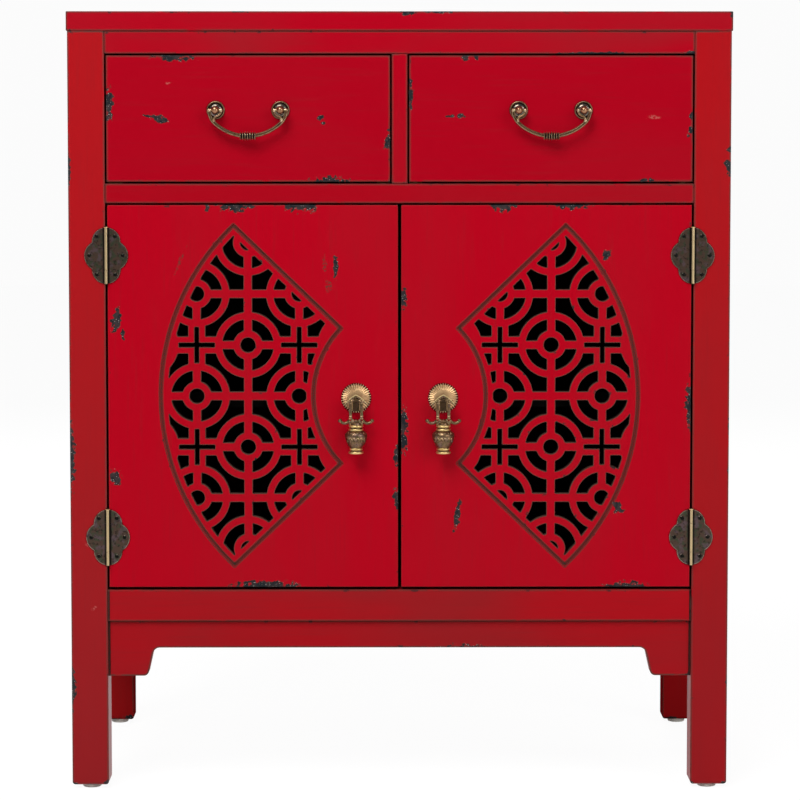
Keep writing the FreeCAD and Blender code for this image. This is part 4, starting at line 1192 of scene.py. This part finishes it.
    def add_rings(self, mesh: Mesh) -> None:
        """Turns the four bright rings at the vase's neck and foot.

        Args:
            mesh: the bmesh to add to.
        """
        upright = Matrix.Rotation(math.pi / 2, 4, "X")
        for radius, level in self.rings:
            section = ring_at(mesh, self.ring_radius, Vector((radius, 0, level)), upright)
            spin_full(mesh, section, (0, 0, 0), (0, 0, 1), steps=40)


@dataclass
class CabinetFrame:
    """The standing frame: posts, rails, aprons, top and side panels in red, and what hides behind them."""

    top_chips: tuple[Chip, ...] = (Chip(7, 745.3, 13, 9), Chip(36, 745.8, 24, 5), Chip(-150, 745.8, 16, 4),
                                   Chip(316, 743.8, 6, 10))
    top_rail_chips: tuple[Chip, ...] = (Chip(192, 705.8, 84, 3.4), Chip(275, 705.8, 13, 6))
    left_post_chips: tuple[Chip, ...] = (
        Chip(-315, 596.8, 5, 28), Chip(-315, 321.8, 10, 60), Chip(-315, 99.8, 8, 38),
        Chip(-298.7, 236.5, 5, 5, bare=False), Chip(-293, 176.2, 7, 3, -35, bare=False),
        Chip(-313.5, 5, 7, 4.5), Chip(-297, 3.4, 34, 3), Chip(-281.5, 6, 6, 6))
    right_post_chips: tuple[Chip, ...] = (
        Chip(313.5, 615.8, 7, 6), Chip(313.5, 599.5, 9, 16), Chip(316, 350.8, 5, 20), Chip(316, 308.8, 5, 8),
        Chip(316, 101.8, 5, 16), Chip(313, 5, 8, 4.5), Chip(296, 3.4, 30, 3), Chip(281, 5, 5, 5))
    rear_post_chips: tuple[Chip, ...] = (
        Chip(-286, 6, 14, 6, y=REAR_POST_FRONT), Chip(-306, 4.5, 16, 3, y=REAR_POST_FRONT),
        Chip(290, 5, 20, 4, y=REAR_POST_FRONT))
    apron_chips: tuple[Chip, ...] = (Chip(64, 137.1, 58, 9),)

    def dress_frame(self) -> None:
        """Dresses the red boards, each with the grain along it."""
        upright = partial(RedLacquer, grain=Grain.UP, dulled=0.5)
        across = partial(RedLacquer, grain=Grain.ACROSS)
        # The top and the rails: clean and bright, dull only under the top where dust settles
        top = across("red_lacquer_top", chips=self.top_chips)
        dress(top.make(), "top_board")
        top_rail = across("red_lacquer_top_rail", dulled=0.7, chips=self.top_rail_chips)
        dress(top_rail.make(), "front_top_rail")
        rails = across("red_lacquer_rails", "#AC041A", dulled=0.3)
        dress(rails.make(), "front_middle_rail", "rear_top_rail", "rear_bottom_rail")
        dress(RedLacquer("red_lacquer_divider").make(), "drawer_divider")
        # The front posts: a little glossier and warmer, and darkened towards the feet with painted shade
        left_post = upright("red_lacquer_left_post", "#B20914", "#96181E", shine=0.2, grimy_foot=0.55,
                            chips=self.left_post_chips)
        dress(left_post.make(), "front_left_post")
        right_post = upright("red_lacquer_right_post", "#B20914", "#96181E", shine=0.14, grimy_foot=0.3,
                             chips=self.right_post_chips)
        dress(right_post.make(), "front_right_post")
        # The rear posts: matt, and painted a darker red as the shade under the cabinet
        shaded_rear_posts = RedLacquer("red_lacquer_rear_posts", "#A8161A", "#8C2220", shine=0.0,
                                chips=self.rear_post_chips)
        dress(shaded_rear_posts.make(), "rear_left_post", "rear_right_post")
        # The low boards and the sides: duller, with a dark line at each joint of the low boards
        low_rail = across("red_lacquer_low_rail", "#B00F1B", "#8A2325", dulled=0.6, joint_at=POST_INNER_FACE)
        dress(low_rail.make(), "front_bottom_rail")
        apron = across("red_lacquer_apron", "#AA111B", "#882426", dulled=0.5, joint_at=POST_INNER_FACE,
                       chips=self.apron_chips)
        dress(apron.make(), "front_apron")
        sides = upright("red_lacquer_sides", "#B00916", "#961A20")
        dress(sides.make(), "left_side_panel", "right_side_panel")
        side_aprons = RedLacquer("red_lacquer_side_aprons", "#AC0C18", "#921C20", dulled=0.5,
                                 grain=Grain.DEEP)
        dress(side_aprons.make(), "left_side_apron", "right_side_apron")

    def dress_inside(self) -> None:
        """Dresses the boards inside, the back, the runners, the catches and the glides."""
        dress(StainedBoard("black_stained_boards").make(), "drawer_deck", "cupboard_floor", "cupboard_shelf",
              "shelf_cleats")
        dress(StainedBoard("brown_stained_back", "#3A2418", "#241610", Grain.UP).make(), "back_panel")
        dress(StainedBoard("waxed_runners", "#4A3220", "#2E1E12", Grain.DEEP).make(), "drawer_centre_guide",
              "drawer_side_guides")
        dress(MouldedPlastic("black_catch_plastic", "#16171A", "#3A3B3E").make(), "door_catches")
        dress(MouldedPlastic("white_glide_plastic", "#E4E1D8", "#F4F2EC").make(), "foot_glides")

    def dress_hinges(self, leaf: Material, nail: Material, pin: Material) -> None:
        """Dresses the hinge halves that stay on the posts.

        Args:
            leaf: material of the leaves.
            nail: material of the nails.
            pin: material of the pins.
        """
        dress(leaf, "hinge_frame_leaves")
        dress(nail, "frame_hinge_nails")
        dress(pin, "hinge_pins")


@dataclass
class Drawer:
    """One drawer: its red front, its plain box, and its domed rosettes and posts."""

    side: Side
    chips: tuple[Chip, ...]
    rim_radius: float = 7.95
    rim_height: float = 1.3
    rim_section: float = 0.6
    # Dome profile from its foot to the post: radius and height over the drawer's front
    dome: tuple[tuple[float, float], ...] = ((6.5, 0.5), (6.3, 1.2), (5.7, 1.9), (4.9, 2.4), (4.0, 2.7),
                                             (2.4, 2.8), (2.4, 0.5))

    def dress_pieces(self, sides: Material, boards: Material, rosette: Material, post: Material,
                     steel: Material) -> None:
        """Dresses the drawer's nodes.

        Args:
            sides: material of the box's sides, with the grain from front to back.
            boards: material of its back and bottom, with the grain across.
            rosette: material of the rosettes.
            post: material of the handle posts.
            steel: material of the nuts.
        """
        word = f"{self.side.word}_drawer"
        lacquer = RedLacquer(f"red_lacquer_{word}", "#AE001A", dulled=0.12, grain=Grain.ACROSS,
                             chips=self.chips)
        dress(lacquer.make(), f"{word}_front")
        dress(sides, f"{word}_left_side", f"{word}_right_side")
        dress(boards, f"{word}_back", f"{word}_bottom")
        dress(rosette, f"{word}_rosettes")
        dress(post, f"{word}_handle_posts")
        dress(steel, f"{word}_handle_nuts")

    def add_rosettes(self, dome: Material, rim: Material) -> None:
        """Turns the shining dome and the rubbed rim of each rosette.

        Args:
            dome: material of the domes.
            rim: material of the rims.
        """
        word = f"{self.side.word}_drawer"
        place = Vector((self.side.value * DRAWER_MIDDLE_X, FRONT, BAIL_AXIS_Z))
        along = Vector((0, 1, 0))
        domes = bmesh.new()
        rims = bmesh.new()
        for side in Side:
            middle = Vector((side.value * POST_SPACING / 2, 0, 0))
            points = [middle + Vector((radius, -height, 0)) for radius, height in self.dome]
            turn_round(domes, points, middle, along, closed=True)
            start = middle + Vector((self.rim_radius, -self.rim_height, 0))
            section = ring_at(rims, self.rim_section, start, Matrix.Identity(4), sides=12)
            spin_full(rims, section, middle, along)
        make_piece(f"{word}_rosette_domes", domes, place, dome, word)
        make_piece(f"{word}_rosette_rims", rims, place, rim, word)


@dataclass
class Door:
    """One door: its pierced red panel, its hinge halves, its catch plate and its pull's lug."""

    side: Side
    chips: tuple[Chip, ...]

    def dress_pieces(self, leaf: Material, nail: Material, lug: Material, steel: Material) -> None:
        """Dresses the door's nodes.

        Args:
            leaf: material of the hinge leaves.
            nail: material of the hinge nails.
            lug: material of the lug that carries the drop.
            steel: material of the catch plate.
        """
        word = f"{self.side.word}_door"
        lacquer = FrettedLacquer(f"red_lacquer_{word}", "#B9001B", dulled=0.2, chips=self.chips,
                                 side=self.side)
        dress(lacquer.make(), f"{word}_panel")
        dress(leaf, f"{word}_hinge_leaves")
        dress(nail, f"{word}_hinge_nails")
        dress(steel, f"{word}_catch_plate")
        dress(lug, f"{self.side.word}_pull_lug")


@dataclass(frozen=True)
class SoftBox:
    """A square studio lamp: where it hangs in metres, its side in metres and its power in watts."""

    name: str
    place: tuple[float, float, float]
    size: float
    power: float

    def hang(self, aim: Vector) -> None:
        """Hangs the lamp and turns it to a point.

        Args:
            aim: the point, in metres.
        """
        lamp = bpy.data.lights.new(self.name, "AREA")
        lamp.size = self.size
        lamp.energy = self.power
        box = bpy.data.objects.new(self.name, lamp)
        box.location = self.place
        box.rotation_euler = (aim - Vector(self.place)).to_track_quat("-Z", "Y").to_euler()
        box.visible_camera = False
        bpy.context.collection.objects.link(box)


@dataclass
class Studio:
    """A white floor and backdrop, soft lamps from the upper left, and the camera."""

    aim: Vector
    lamps: tuple[SoftBox, ...] = (
        SoftBox("key_lamp", (-0.7, -1.8, 2.35), 1.4, 50.0),
        SoftBox("fill_lamp", (2.1, -2.3, 1.4), 1.6, 29.0),
        SoftBox("rear_lamp", (-0.1, 2.7, 1.9), 1.6, 24.0))
    floor_half: float = 9.0
    floor_paint: str = "#E6E6E6"
    white: str = "#FFFFFF"
    ambient: float = 0.13
    dim_room: float = 0.12
    floor_glow: float = 0.86
    floor_strength: float = 1.1
    backdrop_tone: float = 0.968
    # How far a direction points to the back where the backdrop starts, and where it is full
    backdrop_start: float = -0.1
    backdrop_full: float = 0.35
    camera_place: tuple[float, float, float] = (-0.0130, -2.8298, 0.6284)
    camera_pitch: float = 3.75
    camera_turn: float = 0.286
    lens: float = 126.63
    shift: float = -0.10

    def build(self) -> None:
        """Builds the floor, the surroundings, the lamps and the camera."""
        self.lay_floor()
        self.light_room()
        for lamp in self.lamps:
            lamp.hang(self.aim)
        self.stand_camera()
        bpy.context.scene.view_settings.view_transform = "Standard"

    def lay_floor(self) -> None:
        """Lays a pale floor that the camera and reflections see as white, with the cabinet's shadow."""
        mesh = bmesh.new()
        bmesh.ops.create_grid(mesh, x_segments=8, y_segments=8, size=self.floor_half)
        data = bpy.data.meshes.new("studio_floor")
        mesh.to_mesh(data)
        mesh.free()
        material = bpy.data.materials.new("white_studio_floor")
        material.use_nodes = True
        add = partial(add_node, material.node_tree)
        nodes = material.node_tree.nodes
        plain = nodes["Principled BSDF"]
        plain.inputs["Base Color"].default_value = linear(self.floor_paint)
        plain.inputs["Roughness"].default_value = 0.9
        plain.inputs["Specular IOR Level"].default_value = 0.1
        seen = self.seen_directly(material.node_tree)
        share = add("Math", {0: seen, 1: self.floor_glow}, operation="MULTIPLY")
        white = add("Emission", {"Color": linear(self.white), "Strength": self.floor_strength})
        surface = add("MixShader", {0: share, 1: plain.outputs[0], 2: white})
        material.node_tree.links.new(surface, nodes["Material Output"].inputs["Surface"])
        data.materials.append(material)
        floor = bpy.data.objects.new("studio_floor", data)
        bpy.context.collection.objects.link(floor)

    def seen_directly(self, tree: bpy.types.NodeTree) -> Mask:
        """A mask of the rays that show a surface: from the camera, in reflections and through glass.

        Args:
            tree: the node tree to add to.

        Returns:
            The mask.
        """
        seen = add_node(tree, "LightPath", output="Is Camera Ray")
        for kind in ("Is Glossy Ray", "Is Transmission Ray"):
            ray = add_node(tree, "LightPath", output=kind)
            seen = add_node(tree, "Math", {0: seen, 1: ray}, operation="MAXIMUM")
        return seen

    def light_room(self) -> None:
        """Makes the surroundings: a white backdrop, a dim room in front of it and soft even light."""
        world = bpy.data.worlds.new("studio_room")
        bpy.context.scene.world = world
        world.use_nodes = True
        tree = world.node_tree
        add = partial(add_node, tree)
        direction = add("TexCoord", output="Generated")
        away = add("SeparateXYZ", {0: direction}, output="Y")
        backdrop = add("MapRange", {0: away, 1: self.backdrop_start, 2: self.backdrop_full,
                                    3: self.dim_room, 4: self.backdrop_tone})
        camera = add("LightPath", output="Is Camera Ray")
        direct = add("Math", {0: camera, 1: self.backdrop_tone}, operation="MULTIPLY")
        shown = add("Math", {0: backdrop, 1: direct}, operation="MAXIMUM")
        strength = add("Mix", {0: self.seen_directly(tree), 2: self.ambient, 3: shown}, data_type="FLOAT")
        tree.links.new(strength, tree.nodes["Background"].inputs["Strength"])
        tree.nodes["Background"].inputs["Color"].default_value = linear(self.white)

    def stand_camera(self) -> None:
        """Stands the camera where the photograph was taken from."""
        data = bpy.data.cameras.new("photo_camera")
        data.sensor_width = 36.0
        data.lens = self.lens
        data.shift_y = self.shift
        camera = bpy.data.objects.new("photo_camera", data)
        camera.location = self.camera_place
        camera.rotation_euler = (math.radians(90 - self.camera_pitch), 0, math.radians(-self.camera_turn))
        bpy.context.collection.objects.link(camera)
        bpy.context.scene.camera = camera


# Chips on the drawers and doors: across from the cabinet's middle, and up from the floor
LEFT_DRAWER_CHIPS = (Chip(-213, 704.8, 42, 12), Chip(-276, 657.8, 9, 27), Chip(-227, 643.8, 17, 7, 22),
                     Chip(-238, 647, 12, 2.5, 12), Chip(-75, 645.8, 7, 5), Chip(-72, 639.8, 5, 4),
                     Chip(-10, 620.8, 9, 15), Chip(-10, 633.8, 4, 4), Chip(-66, 584.5, 36, 10),
                     Chip(-219.5, 678, 7, 2.4, bare=False))
RIGHT_DRAWER_CHIPS = (Chip(62.5, 703.8, 7, 9), Chip(73, 702.8, 5, 5), Chip(10.5, 667.8, 6, 16),
                      Chip(10.5, 679.8, 4, 6), Chip(10.5, 656.8, 3, 8), Chip(48, 646.8, 9, 3),
                      Chip(58, 646.8, 9, 5), Chip(277.6, 648, 5, 8), Chip(277, 634, 5, 6),
                      Chip(274.5, 628, 4, 4), Chip(232, 586, 6, 4), Chip(240, 586, 6, 4),
                      Chip(240, 646, 13, 4, bare=False))
LEFT_DOOR_CHIPS = (Chip(-183, 559.8, 5, 7), Chip(-156, 562.6, 32, 13), Chip(-94, 562.6, 34, 13),
                   Chip(-270, 452.8, 9, 22, 14), Chip(-264, 438.8, 4, 12), Chip(-61, 503.8, 5, 24),
                   Chip(-71.5, 505, 4, 19, bare=False), Chip(-68, 485, 9, 10, bare=False),
                   Chip(-209.5, 507.8, 3, 26, 24, bare=False), Chip(-2, 323.8, 8, 22), Chip(-2, 280.3, 8, 22),
                   Chip(-272, 302.8, 10, 15, -20), Chip(-130, 196.3, 60, 12))
RIGHT_DOOR_CHIPS = (Chip(98, 562.6, 22, 13), Chip(164, 562.6, 30, 8), Chip(198, 514.8, 8, 11, 30),
                    Chip(3, 474.4, 9, 20), Chip(3, 353.8, 9, 30), Chip(3, 336.8, 9, 26),
                    Chip(55, 263.8, 6, 28, 8), Chip(209, 272.8, 9, 16, -30), Chip(278, 370.8, 10, 40),
                    Chip(218, 196.3, 40, 11))


def main() -> None:
    """Builds the studio, then dresses and builds the cabinet from its frame to its pulls."""
    logging.basicConfig(level=logging.INFO, format="%(name)s: %(message)s")
    lowest, highest = (Vector(corner) for corner in cad_box)
    Studio((lowest + highest) / 2).build()
    log.info("built the studio")
    # Hinges: mottled dark plates, barrels with a painted highlight between painted shade, and nearly black
    # nails
    leaf = HingeBronze("aged_bronze_hinges", edge_width=0.8).make()
    nail = AgedBronze("dark_bronze_nails", "#14110F", "#10140F", "#181315", "#080706", "#4A4238", 2.0).make()
    # Bails: warm brown metal, gold where hands rub it
    wire = AgedBronze("brass_bronze_bails", "#8E7252", "#776240", "#8A6E5C", "#150E09", "#D9C4A0", 5.0).make()
    # Pulls: brown castings with dirt in the relief, on a darker lug
    casting = AgedBronze("dark_bronze_castings", "#80644A", "#66573A", "#7A6058", "#2A1E15", "#C2A47C", 3.0,
                         edge_width=0.3).make()
    lug = AgedBronze("dark_bronze_lugs", "#4A3624", "#40331E", "#4A372E", "#1A120C", "#6E5638", 3.0).make()
    # Drawer rosettes: dark plates under small shining domes
    rosette = AgedBronze("dark_bronze_rosettes", "#332B25", "#2C2A20", "#36302F", "#14100D", "#A09078",
                         4.0).make()
    dome = AgedBronze("polished_bronze_domes", "#7A6C60", "#66645A", "#75686A", "#2A2420", "#D2C0A2", 4.0,
                      roughness=0.16).make()
    # Bright parts: soft gold starbursts, yellow rings and copper-red posts
    brass = BrightBrass("tarnished_brass_starbursts", "#C09C72", "#A47C58", "#4A3022", "#EFD6B4", 0.46).make()
    trim = BrightBrass("polished_brass_trim", "#E2C68A", "#BE9C5C", roughness=0.42).make()
    copper = BrightBrass("copper_brass_posts", "#A87C5E", "#74503C", "#2A1A14", "#E0C0A0").make()
    # Drawer boxes: pale bare wood with the grain along each board, and plain steel nuts
    sides = BareWood("bare_softwood_sides").make()
    boards = BareWood("bare_softwood_boards", grain=Grain.ACROSS).make()
    steel = PlatedSteel("zinc_plated_steel").make()
    cabinet = CabinetFrame()
    cabinet.dress_frame()
    cabinet.dress_inside()
    cabinet.dress_hinges(leaf, nail, trim)
    for side, drawer_chips, door_chips in ((Side.LEFT, LEFT_DRAWER_CHIPS, LEFT_DOOR_CHIPS),
                                           (Side.RIGHT, RIGHT_DRAWER_CHIPS, RIGHT_DOOR_CHIPS)):
        drawer = Drawer(side, drawer_chips)
        drawer.dress_pieces(sides, boards, rosette, copper, steel)
        drawer.add_rosettes(dome, wire)
        Bail(side).build(wire, nail)
        Door(side, door_chips).dress_pieces(leaf, nail, lug, steel)
        Starburst(side).build(brass)
        VaseDrop(side).build(casting, trim)


if __name__ == "__main__":
    main()
